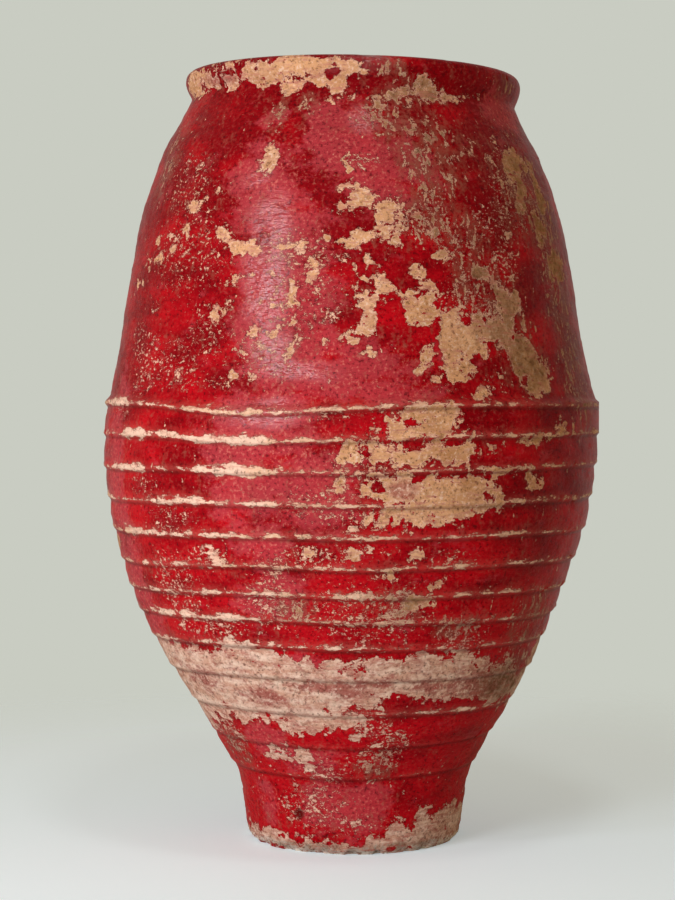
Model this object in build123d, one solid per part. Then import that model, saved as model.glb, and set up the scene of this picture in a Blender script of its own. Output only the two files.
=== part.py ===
"""Tall storage jar of fired clay, built up by hand in stages, each luted wet onto the one below.

The jar stands on +Z. Its origin is the centre of the foot, on the ground. A plain foot flares
into a ribbed belly, and the shoulder closes in to a heavy rolled lip. The wall is made of rings,
and each ring stands level on the one below, its outer edge oversailing the seam by a ledge.
Inside a ribbed ring, every course of coils oversails the course below in the same way. So every
rib is the lower edge of a course, and the ribs that start a ring also hide its seam.
"""

import os

from build123d import *

# Overall sizes, in millimetres.
jar_height = 1000.0
belly_height = 545.0
belly_radius = 325.5
wall = 25.0

# Foot: a floor slab, and a plain wall round a straight well that turns out to the lowest rib.
foot_radius = 141.0
floor_thickness = 26.0
foot_wall_thickness = 21.0
foot_waist_height_share = 0.5
foot_waist_radius_share = 0.34
foot_band_count = 2

# Ribbed belt: a line through the tips of the ribs, from the lowest one to the widest part.
lowest_rib_height = 104.0
lowest_rib_radius = 165.5
flare_lean = 0.54
flare_height_share = 0.3
flare_radius_share = 0.47
full_height_share = 0.615
full_radius_share = 0.84

# Ribs: heights as shares of the way up the belt, and the ledge under each tip.
belt_top_height = 568.0
rib_height_shares = (
    0.0, 0.091, 0.185, 0.284, 0.369, 0.44, 0.509, 0.584, 0.664, 0.748, 0.834, 0.92, 1.0,
)
lowest_ledge = 2.0
highest_ledge = 3.5

# Ribs, and so courses of coils, in each ring below the uppermost, which has the rest.
flare_rib_count = 3
lower_belly_rib_count = 3
middle_belly_rib_count = 3

# Shoulder: set back on top of the belt, then closing in to the groove under the lip.
shoulder_set_back = 7.0
shoulder_foot_lean = -0.24
shoulder_height_share = 0.41
shoulder_radius_share = 0.25
upper_shoulder_height_share = 0.743
upper_shoulder_radius_share = 0.536
neck_radius = 214.0
neck_lean = -0.44
shoulder_seam_share = 0.5
shoulder_band_count = 3

# Lip: a thick coil, wider than the neck both ways, with a flat top that a lid can rest on.
lip_height = 39.0
lip_overhang = 7.5
lip_round = 15.5
lip_band_count = 3
lip_thickness = 39.5
mouth_round = 8.0
mouth_band_count = 2

# Halvings of the search for the place on a curve at a given height.
search_steps = 50


def mix(first, last, share):
    """The value this share of the way from first to last."""
    return first + (last - first) * share


def between(low, high, height_share, radius_share):
    """A point between two others, by its shares of their rise and of their change of radius."""
    return Vector(mix(low.X, high.X, radius_share), mix(low.Y, high.Y, height_share))


def point_at(curve, height):
    """The point of a rising curve at this height, found by halving."""
    low, high = 0.0, 1.0
    for _ in range(search_steps):
        middle = (low + high) / 2
        if (curve @ middle).Y < height:
            low = middle
        else:
            high = middle
    return Vector((curve @ low).X, height)


def band_points(curve, low, high, bands):
    """Points that divide a rising curve between two heights into bands of equal height."""
    return [point_at(curve, mix(low, high, band / bands)) for band in range(bands + 1)]


def round_points(centre, radius, start_angle, end_angle, bands):
    """Points that divide an arc into equal bands."""
    angles = [mix(start_angle, end_angle, band / bands) for band in range(bands + 1)]
    return [centre + Vector(radius, 0).rotate(Axis.Z, angle) for angle in angles]


def turned(points):
    """The solid turned round the jar's axis from the corners of its half section."""
    return revolve(Plane.XZ * make_face(Polyline(*points, close=True)), Axis.Z)


def ring(outer_points, inner_low, inner_high):
    """A wall ring from the points of its outside, rising, and its inner radius at each end."""
    bottom = outer_points[0].Y
    top = outer_points[-1].Y
    return turned([*outer_points, Vector(inner_high, top), Vector(inner_low, bottom)])


# Line through the tips of the ribs. Here X is the radius and Y the height, as in every section.
lowest_tip = Vector(lowest_rib_radius, lowest_rib_height)
widest = Vector(belly_radius, belly_height)
tip_line = Spline(
    lowest_tip,
    between(lowest_tip, widest, flare_height_share, flare_radius_share),
    between(lowest_tip, widest, full_height_share, full_radius_share),
    widest,
    tangents=((flare_lean, 1), (0, 1)),
)
last_rib = len(rib_height_shares) - 1

# The ribs that start the three belly rings, counted from the lowest, which starts the flare.
lower_belly_start_rib = flare_rib_count
middle_belly_start_rib = lower_belly_start_rib + lower_belly_rib_count
upper_belly_start_rib = middle_belly_start_rib + middle_belly_rib_count


def rib_tip(rib):
    """The outermost point of a rib. Above the widest part of the belly the tips stand upright."""
    height = mix(lowest_rib_height, belt_top_height, rib_height_shares[rib])
    return Vector(point_at(tip_line, min(height, belly_height)).X, height)


def rib_root(rib):
    """The corner under a rib, where the course below ends."""
    ledge = mix(lowest_ledge, highest_ledge, rib_height_shares[rib])
    return rib_tip(rib) - Vector(ledge, 0)


# Line of the foot, from the top edge of the floor slab to the root of the lowest rib.
floor_edge = Vector(foot_radius, floor_thickness)
foot_line = Spline(
    floor_edge,
    between(floor_edge, rib_root(0), foot_waist_height_share, foot_waist_radius_share),
    rib_root(0),
)

# Line of the shoulder, from the top of the belt to the groove under the lip.
shoulder_foot = rib_tip(last_rib) - Vector(shoulder_set_back, 0)
neck = Vector(neck_radius, jar_height - lip_height)
shoulder_line = Spline(
    shoulder_foot,
    between(shoulder_foot, neck, shoulder_height_share, shoulder_radius_share),
    between(shoulder_foot, neck, upper_shoulder_height_share, upper_shoulder_radius_share),
    neck,
    tangents=((shoulder_foot_lean, 1), (neck_lean, 1)),
)
shoulder_seam = point_at(shoulder_line, mix(shoulder_foot.Y, neck.Y, shoulder_seam_share))


def inner_at(rib):
    """Radius of the inside at the seam under a rib, a wall's thickness in from its tip."""
    return rib_tip(rib).X - wall


# Radius of the straight well in the foot, and of the one behind the upper belly.
foot_well_radius = foot_radius - foot_wall_thickness
belly_well_radius = inner_at(upper_belly_start_rib)


def ribbed_ring(first_rib, end_rib, top_outer, inner_low, inner_high):
    """A ring of courses, from the tip of its first rib to an outer corner at its end rib."""
    points = [rib_tip(first_rib)]
    for rib in range(first_rib + 1, end_rib):
        points += [rib_root(rib), rib_tip(rib)]
    return ring([*points, top_outer], inner_low, inner_high)


def ribbed_stage(first_rib, end_rib, inner_low, inner_high):
    """A ribbed ring whose end rib starts the next ring."""
    return ribbed_ring(first_rib, end_rib, rib_root(end_rib), inner_low, inner_high)


def floor_disc():
    """The slab under everything, flat on both sides."""
    return turned([Vector(0, 0), Vector(foot_radius, 0), floor_edge, Vector(0, floor_thickness)])


def foot_wall():
    """The plain wall of the foot, round its straight well."""
    outside = band_points(foot_line, floor_thickness, lowest_rib_height, foot_band_count)
    return ring(outside, foot_well_radius, foot_well_radius)


def upper_belly():
    """The last ribbed ring, whose top edge stands out from the shoulder as the highest rib."""
    top_outer = rib_tip(last_rib)
    return ribbed_ring(
        upper_belly_start_rib, last_rib, top_outer, belly_well_radius, belly_well_radius
    )


def shoulder_ring(low, high, inner_low, inner_high):
    """A plain ring of the shoulder between two heights."""
    outside = band_points(shoulder_line, low, high, shoulder_band_count)
    return ring(outside, inner_low, inner_high)


def lip():
    """The rolled lip: undercut outside, rounded over the top, with a straight throat."""
    outer_centre = neck + Vector(lip_overhang - lip_round, lip_height - lip_round)
    mouth_radius = neck_radius + lip_overhang - lip_thickness
    inner_centre = Vector(mouth_radius + mouth_round, jar_height - mouth_round)
    return turned(
        [
            neck,
            *round_points(outer_centre, lip_round, 0, 90, lip_band_count),
            *round_points(inner_centre, mouth_round, 90, 180, mouth_band_count),
            Vector(mouth_radius, neck.Y),
        ]
    )


parts = {
    "floor_disc": floor_disc(),
    "foot_wall": foot_wall(),
    "flare_wall": ribbed_stage(
        0, lower_belly_start_rib, foot_well_radius, inner_at(lower_belly_start_rib)
    ),
    "lower_belly": ribbed_stage(
        lower_belly_start_rib, middle_belly_start_rib,
        inner_at(lower_belly_start_rib), inner_at(middle_belly_start_rib),
    ),
    "middle_belly": ribbed_stage(
        middle_belly_start_rib, upper_belly_start_rib,
        inner_at(middle_belly_start_rib), belly_well_radius,
    ),
    "upper_belly": upper_belly(),
    "lower_shoulder": shoulder_ring(
        belt_top_height, shoulder_seam.Y, belly_well_radius, shoulder_seam.X - wall
    ),
    "upper_shoulder": shoulder_ring(
        shoulder_seam.Y, neck.Y, shoulder_seam.X - wall, neck_radius - wall
    ),
    "lip": lip(),
}

os.makedirs("parts", exist_ok=True)
for name, solid in parts.items():
    export_step(solid, f"parts/{name}.step")
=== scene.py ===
"""A tall storage jar of coil-built terracotta, in worn red oil paint over limewash.

The jar is modelled as the frame's nine rings and discs. One outline, taken from the frame, gives
them all their shape, and one paint map gives them all their wear and the shade and sheen painted
with it, so that they meet without a step. Outlines and wear are worked out in millimetres and
degrees, and meshes are in metres.
A bearing is the angle round the jar from the side that faces the camera, positive to the right.
"""

import logging
import math
from dataclasses import dataclass, field
from enum import Enum
from typing import Any

import bpy
import numpy as np
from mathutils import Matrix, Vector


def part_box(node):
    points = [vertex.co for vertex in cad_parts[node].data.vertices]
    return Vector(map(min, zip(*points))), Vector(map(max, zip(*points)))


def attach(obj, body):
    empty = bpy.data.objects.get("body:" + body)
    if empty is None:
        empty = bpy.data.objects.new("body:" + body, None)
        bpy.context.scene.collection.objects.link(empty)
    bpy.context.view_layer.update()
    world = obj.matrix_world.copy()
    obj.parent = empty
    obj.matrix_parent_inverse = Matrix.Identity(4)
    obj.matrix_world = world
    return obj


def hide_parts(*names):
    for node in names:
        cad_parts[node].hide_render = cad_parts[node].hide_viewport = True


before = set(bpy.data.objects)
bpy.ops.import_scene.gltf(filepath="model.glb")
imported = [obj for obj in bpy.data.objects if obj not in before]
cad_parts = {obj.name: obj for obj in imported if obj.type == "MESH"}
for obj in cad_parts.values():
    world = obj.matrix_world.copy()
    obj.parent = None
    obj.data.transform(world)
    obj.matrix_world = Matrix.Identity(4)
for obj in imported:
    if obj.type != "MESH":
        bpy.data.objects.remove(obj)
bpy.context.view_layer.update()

MM = 0.001
COLUMNS = 896
BODY = "root"
UV_MAP = "OFBake"
log = logging.getLogger("jar")

# Height that a flat strip between two sheets gets on the flat map.
STRIP_ON_MAP = 0.01

# The marks that the painted finish reads from the mesh: wear, and painted shade and sheen.
MARK_NAMES = ("loss", "pale", "pink", "chalk", "grime", "chips", "crest", "crease", "gloss")


def smooth(low: float, high: float, value: np.ndarray) -> np.ndarray:
    """An even rise from 0 at low to 1 at high.

    Args:
        low: Where the rise starts.
        high: Where it ends.
        value: Where it is wanted.

    Returns:
        The height of the rise at each value.
    """
    share = np.clip((value - low) / (high - low), 0.0, 1.0)
    return share * share * (3 - 2 * share)


def curve_through(places: np.ndarray, values: np.ndarray, wanted: np.ndarray) -> np.ndarray:
    """A smooth curve through points that never swings past them.

    Args:
        places: Rising places of the points.
        values: Their values.
        wanted: Places at which the curve is wanted.

    Returns:
        The curve's values there.
    """
    places, values = np.asarray(places, float), np.asarray(values, float)
    steps = np.diff(places)
    slopes = np.diff(values) / steps
    before, after = slopes[:-1], slopes[1:]
    weight_before, weight_after = steps[:-1] + 2 * steps[1:], 2 * steps[:-1] + steps[1:]
    same_way = before * after > 0
    middle = np.zeros_like(before)
    total = weight_before + weight_after
    middle[same_way] = (total / (weight_before / np.where(same_way, before, 1)
                                 + weight_after / np.where(same_way, after, 1)))[same_way]
    lean = np.concatenate([slopes[:1], middle, slopes[-1:]])
    piece = np.clip(np.searchsorted(places, wanted) - 1, 0, len(steps) - 1)
    share = np.clip((wanted - places[piece]) / steps[piece], 0, 1)
    turn = share * share * (3 - 2 * share)
    start = share * (1 - share) ** 2 * steps[piece] * lean[piece]
    end = -share * share * (1 - share) * steps[piece] * lean[piece + 1]
    return values[piece] * (1 - turn) + values[piece + 1] * turn + start + end


def linear(colour: str) -> tuple[float, float, float, float]:
    """The linear colour, with full alpha, that an sRGB hex value stands for."""
    parts = [int(colour[place:place + 2], 16) / 255 for place in (1, 3, 5)]
    light = [part / 12.92 if part <= 0.04045 else ((part + 0.055) / 1.055) ** 2.4 for part in parts]
    return (*light, 1.0)


def turn_from(bearing: np.ndarray, middle: float) -> np.ndarray:
    """How far bearings in degrees lie to the right of another, from -180 to 180."""
    return (bearing - middle + 180) % 360 - 180


def rows_between(keys: list[float], steps: list[float]) -> np.ndarray:
    """Rising places with one at each key, evenly spaced between each key and the next.

    Args:
        keys: The keys, rising.
        steps: The longest step above each key.

    Returns:
        The places.
    """
    rows = [
        np.linspace(low, high, math.ceil((high - low) / step), endpoint=False)
        for low, high, step in zip(keys, keys[1:], steps)
    ]
    return np.concatenate([*rows, keys[-1:]])


@dataclass(frozen=True)
class Noise:
    """Seeded noise in layers, each of half the grain and strength of the one before.

    The grain is in millimetres, and marks are so many times flatter than wide. The first layer
    goes from minus the strength to the strength, smoothly between the points of a lattice.
    """

    seed: int
    grain: float
    layers: int = 1
    flat: float = 1.0
    strength: float = 1.0
    table_size: int = 1 << 16
    strides: tuple[int, int, int] = (73856093, 19349663, 83492791)

    def layer(self, points: np.ndarray, number: int) -> np.ndarray:
        """One layer at full strength.

        Args:
            points: Places in millimetres.
            number: Number of the layer, from 0.

        Returns:
            The noise at each place, from -1 to 1.
        """
        table = np.random.default_rng(self.seed + number).uniform(-1, 1, self.table_size)
        grain = self.grain / 2 ** number
        keys, shares = [], []
        for axis, (stride, stretch) in enumerate(zip(self.strides, (1.0, 1.0, self.flat))):
            cell = points[..., axis] * (stretch / grain)
            low = np.floor(cell)
            share = smooth(0.0, 1.0, cell - low)
            key = low.astype(np.int64) * stride
            keys.append((key, key + stride))
            shares.append((1 - share, share))
        total = np.zeros(points.shape[:-1])
        for x, y in np.ndindex(2, 2):
            key, share = keys[0][x] ^ keys[1][y], shares[0][x] * shares[1][y]
            for z in (0, 1):
                cell = (key ^ keys[2][z]) & (self.table_size - 1)
                total += share * shares[2][z] * table[cell]
        return total

    def at(self, points: np.ndarray) -> np.ndarray:
        """The sum of the layers at places in millimetres."""
        return self.strength * sum(
            self.layer(points, number) / 2 ** number for number in range(self.layers)
        )


@dataclass(frozen=True)
class Outline:
    """The jar's section, in millimetres: its seams as the frame has them, and what lies between.

    Shares are of the way from one seam to the next, first in height and then in radius. The lip's
    shape is a share of its height and how far in from its reach. The floor's corner is how far up
    from the floor and in from the well, and the throat's turn how far down from the groove and out.
    """

    rib_shares: tuple[float, ...] = (
        0.0, 0.091, 0.185, 0.284, 0.369, 0.44, 0.509, 0.584, 0.664, 0.748, 0.834, 0.92, 1.0,
    )
    ring_start_ribs: tuple[int, ...] = (0, 3, 6, 9)
    foot_shares: tuple[tuple[float, float], ...] = ((0.18, 0.16), (0.56, 0.34), (0.83, 0.66))
    flare_shares: tuple[tuple[float, float], ...] = ((0.32, 0.31), (0.65, 0.635))
    shoulder_shares: tuple[tuple[float, float], ...] = (
        (0.183, 0.126), (0.31, 0.19), (0.438, 0.262), (0.565, 0.362), (0.692, 0.475),
        (0.819, 0.65), (0.921, 0.867),
    )
    underside: float = 6.5
    foot_taper: float = 3.0
    widest_inset: float = 0.8
    courses_below: float = 40.0
    ledges: tuple[float, ...] = (2.0, 2.4, 4.5, 1.9)
    hollow: float = 2.9
    lowest_hollow: float = 0.45
    course_swell: float = 1.1
    bead: float = 0.9
    bead_above: float = 3.0
    bead_below: float = 2.2
    set_back: float = 11.0
    foot_wear: float = 4.0
    foot_wear_height: float = 9.0
    lip_overhang: float = 7.5
    lip_shape: tuple[tuple[float, float], ...] = (
        (0, 7.5), (0.07, 7.4), (0.16, 6.2), (0.3, 3.4), (0.46, 1.2), (0.64, 0.1), (0.8, 0.9),
        (0.91, 3.4), (0.98, 8), (1, 13), (1, 20), (0.985, 27), (0.93, 32.5), (0.82, 36.5),
        (0.62, 38.8), (0.35, 39.4), (0, 39.2),
    )
    floor_corner: tuple[tuple[float, float], ...] = ((0, 9), (7, 2), (18, 0))
    throat_turn: tuple[float, float] = (14.0, 10.0)
    wall: float = 25.0
    foot_wall: float = 21.0
    step: float = 1.75
    shoulder_step: float = 2.35
    inner_step: float = 12.0

    def top_of(self, node: str) -> float:
        """Height of a node's top."""
        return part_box(node)[1].z / MM

    def reach_of(self, node: str) -> float:
        """Largest radius of a node."""
        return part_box(node)[1].x / MM

    @property
    def tips(self) -> np.ndarray:
        """Heights of the ribs' tips."""
        low, high = self.top_of("foot_wall"), self.top_of("upper_belly")
        return low + (high - low) * np.array(self.rib_shares)

    @property
    def neck(self) -> float:
        """Height of the groove under the lip."""
        return self.top_of("upper_shoulder")

    @property
    def seams(self) -> list[float]:
        """Heights at which the pieces meet, from the floor slab's top to the groove."""
        ribbed = [self.tips[rib] - self.underside for rib in self.ring_start_ribs]
        return [
            self.top_of("floor_disc"), *ribbed, self.tips[-1] + 1.6 * self.underside,
            self.top_of("lower_shoulder"), self.neck,
        ]

    def guide(self, heights: np.ndarray) -> np.ndarray:
        """Radius of the plain outline, through the tips of the ribs.

        Args:
            heights: Heights at which it is wanted.

        Returns:
            The radius at each height.
        """
        floor_top, foot = self.top_of("floor_disc"), self.reach_of("floor_disc")
        ringed = ("foot_wall", "flare_wall", "lower_belly", "middle_belly")
        lowest, flare, lower, middle = (
            (self.top_of(node), self.reach_of(node) + ledge)
            for node, ledge in zip(ringed, self.ledges)
        )
        widest = self.reach_of("upper_belly")
        between = [
            (floor_top + (lowest[0] - floor_top) * rise, foot + (lowest[1] - foot) * share)
            for rise, share in self.foot_shares
        ]
        flared = [
            tuple(low + (high - low) * part for low, high, part in zip(lowest, flare, shares))
            for shares in self.flare_shares
        ]
        upright = (middle[0] + self.top_of("upper_belly")) / 2
        points = [
            (0.0, foot - self.foot_taper), (floor_top / 2, foot), *between, lowest, *flared, flare,
            lower, middle, (upright, widest - self.widest_inset), (self.top_of("upper_belly"), widest),
        ]
        belt = curve_through(*np.array(points).T, heights)
        return np.where(heights > self.tips[-1], self.shoulder(heights), belt)

    def shoulder(self, heights: np.ndarray) -> np.ndarray:
        """Radius of the shoulder.

        Args:
            heights: Heights at which it is wanted.

        Returns:
            The radius at each height.
        """
        low, foot = self.tips[-1], self.reach_of("lower_shoulder")
        neck_radius = self.reach_of("lip") - self.lip_overhang
        points = [(low, foot + 1.0)]
        points += [
            (low + (self.neck - low) * rise, foot + (neck_radius - foot) * share)
            for rise, share in self.shoulder_shares
        ]
        points += [(self.neck, neck_radius)]
        return curve_through(*np.array(points).T, heights)

    def from_tip(self, heights: np.ndarray) -> np.ndarray:
        """Distance from the nearest rib's tip, negative below it, where undersides count as below.

        Args:
            heights: Heights at which it is wanted.

        Returns:
            The distance at each height.
        """
        away = heights[:, None] - self.tips[None, :]
        below = np.where(away < 0, -away, 999.0).min(1)
        above = np.where(away >= 0, away, 999.0).min(1)
        return np.where(below < np.minimum(above, 2 * self.underside), -below, above)

    def radius(self, heights: np.ndarray) -> np.ndarray:
        """Outer radius, with the courses' hollows and the ribs' beads.

        Args:
            heights: Heights at which it is wanted, below the lip.

        Returns:
            The radius at each height.
        """
        tips = np.concatenate([[self.tips[0] - self.courses_below], self.tips, [np.inf]])
        course = np.clip(np.searchsorted(tips, heights, side="right") - 1, 0, len(tips) - 2)
        above, below = heights - tips[course], tips[course + 1] - heights
        rise = np.minimum(tips[course + 1] - tips[course], 200.0)
        ribbed = (heights > tips[0]) & (heights <= tips[-2])
        full_hollow = smooth(self.tips[0], self.tips[4], heights)
        depth = self.hollow * (self.lowest_hollow + (1 - self.lowest_hollow) * full_hollow)
        body = np.clip(above / (rise - self.underside), 0, 1)
        drop = depth * body ** 0.8 - self.course_swell * np.sin(np.pi * body)
        drop = np.where(ribbed, drop * smooth(0, self.underside, below), 0.0)
        crest = np.where(course == 0, 0.0, np.exp(-(above / self.bead_above) ** 2))
        crest += np.exp(-(below / self.bead_below) ** 2)
        inset = self.bead * (1 - crest.clip(0, 1)) * (heights > tips[0])
        on_shoulder = heights > self.tips[-1]
        widest = self.reach_of("upper_belly")
        set_back = 1 - smooth(0, self.set_back, heights - self.tips[-1])
        guide = self.guide(heights)
        guide = np.where(on_shoulder, guide + (widest - guide) * set_back, guide)
        inset = np.where(on_shoulder, self.bead * (1 - crest) * set_back, inset)
        worn = self.foot_wear * (1 - smooth(0, self.foot_wear_height, heights)) ** 2
        return guide - drop - inset - worn

    def lip_rows(self) -> tuple[np.ndarray, np.ndarray, np.ndarray]:
        """The lip's section, out from the groove, over the top and down the throat.

        Returns:
            Heights, radii, and levels, which go on rising with the way along the section.
        """
        share, inset = np.array(self.lip_shape).T
        heights = self.neck + (self.top_of("lip") - self.neck) * share
        radii = self.reach_of("lip") - inset
        along = np.concatenate([[0], np.hypot(np.diff(heights), np.diff(radii)).cumsum()])
        wanted = np.linspace(0, along[-1], int(along[-1] / self.step) + 1)
        return (
            curve_through(along, heights, wanted),
            curve_through(along, radii, wanted),
            self.neck + wanted,
        )

    def heights(self) -> np.ndarray:
        """Heights of the outer rows below the lip, with one at each seam, tip and root."""
        tips, belt_end = self.tips, self.seams[-3]
        keys = sorted({0.0, *self.seams, *tips, *(tips - self.underside)})
        return rows_between(keys, [self.step if key < belt_end else self.shoulder_step for key in keys])

    def inner_radius(self, heights: np.ndarray) -> np.ndarray:
        """Radius of the inside of the wall.

        Args:
            heights: Heights at which it is wanted.

        Returns:
            The radius at each height.
        """
        well = self.reach_of("floor_disc") - self.foot_wall
        low, root = self.seams[0], self.seams[1]
        throat = self.lip_rows()[1][-1]
        seams = np.array([*self.seams[2:6], *np.linspace(self.seams[5], self.neck, 5)[1:4]])
        walls = self.guide(seams) - self.wall
        corner = [(low + up, well - inwards) for up, inwards in self.floor_corner]
        turn = (self.neck - self.throat_turn[0], throat + self.throat_turn[1])
        points = [*corner, (root, well + 1.5), *zip(seams, walls), turn, (self.neck, throat)]
        return curve_through(*np.array(points).T, heights)


@dataclass(frozen=True)
class Unevenness:
    """How a jar built and moved by hand departs from a true round, in millimetres.

    Sags are the bearing and height of their middle, then half the width in degrees, half the
    height and the depth. The other tables give a height for each value.
    """

    wave: Noise = Noise(11, 270, 2, 2.2, 4.2)
    still_below: tuple[float, float] = (20.0, 110.0)
    still_above: tuple[float, float] = (0.84, 0.93)
    lumps: Noise = Noise(11, 120, 2, strength=1.5)
    lump_inset: float = 1.05
    dents: Noise = Noise(31, 38, 2, 1.6, 0.8)
    ripple: Noise = Noise(41, 49, 1, 7, 0.3)
    pits: Noise = Noise(51, 11, 2, 1.5, 0.35)
    chips: Noise = Noise(171, 24, 3)
    crest_chip: float = 2.4
    crest_reach: float = 4.5
    foot_breaks: Noise = Noise(181, 17, 3)
    foot_break: float = 5.0
    foot_break_reach: float = 16.0
    rim_chips: Noise = Noise(191, 20, 3)
    rim_chip: float = 1.6
    rim_levels: tuple[float, float] = (972.0, 990.0)
    throat_levels: tuple[float, float] = (66.0, 78.0)
    scraping: Noise = Noise(201, 90, 3, 2.0, 2.0)
    inner_coil: float = 1.2
    inner_coil_height: float = 38.0
    paint: float = 0.4
    depth_less: float = 3.0
    sags: tuple[tuple[float, ...], ...] = ((-24, 568, 21, 58, 12.0), (3, 385, 16, 150, 3.8))
    rim_heights: tuple[float, ...] = (0, 850, 961, 1000)
    rim_drops: tuple[float, ...] = (0, 0, 2.7, 3.5)
    rim_tilts: tuple[float, ...] = (0, 0, 5.6, 3.5)
    lean_heights: tuple[float, ...] = (
        0, 80, 130, 170, 220, 262, 300, 340, 420, 500, 566, 600, 890, 930, 960, 1000,
    )
    leans: tuple[float, ...] = (
        4, 4.8, 3, 4, 2, -0.5, -3.2, -3.8, -0.6, 0.4, 4, 2.6, 0.6, 2.6, 4.6, 4,
    )
    girth_heights: tuple[float, ...] = (
        0, 60, 110, 140, 178, 240, 335, 420, 540, 640, 740, 800, 870, 925, 961, 1000,
    )
    girths: tuple[float, ...] = (
        -1, 0, -3.4, -1.4, 0.6, -0.6, -2.6, 1.6, 0.4, -1.5, -2.8, -1, -4, -1.2, -2.2, -4.2,
    )

    def rise(self, points: np.ndarray, bearing: np.ndarray, top: float) -> np.ndarray:
        """How far each point is raised.

        Args:
            points: Places on the true round.
            bearing: Their bearings, in radians.
            top: Height of the jar.

        Returns:
            The rise of each point.
        """
        height = points[..., 2]
        low, high = (share * top for share in self.still_above)
        free = smooth(*self.still_below, height) * (1 - smooth(low, high, height))
        wave = self.wave.at(points) * free
        for middle, level, wide, tall, depth in self.sags:
            turn = turn_from(np.degrees(bearing), middle)
            wave = wave - depth * np.exp(-((turn / wide) ** 2) - ((height - level) / tall) ** 2)
        drop = curve_through(self.rim_heights, self.rim_drops, height)
        tilt = curve_through(self.rim_heights, self.rim_tilts, height)
        return wave - drop - tilt * np.sin(bearing)

    def swell(self, points: np.ndarray, bearing: np.ndarray) -> np.ndarray:
        """How far each point stands out of the true round.

        Args:
            points: Places on the true round.
            bearing: Their bearings, in radians.

        Returns:
            The swelling of each point, mostly negative.
        """
        rough = sum(noise.at(points) for noise in (self.lumps, self.dents, self.ripple, self.pits))
        oval = -self.depth_less / 2 * (1 + np.cos(2 * bearing))
        girth = curve_through(self.girth_heights, self.girths, points[..., 2])
        return rough - self.lump_inset + oval + girth

    def sideways(self, height: np.ndarray) -> np.ndarray:
        """How far to the right the jar's middle lies at each height."""
        return curve_through(self.lean_heights, self.leans, height)


Places = tuple[tuple[float, float, float, float], ...]
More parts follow.
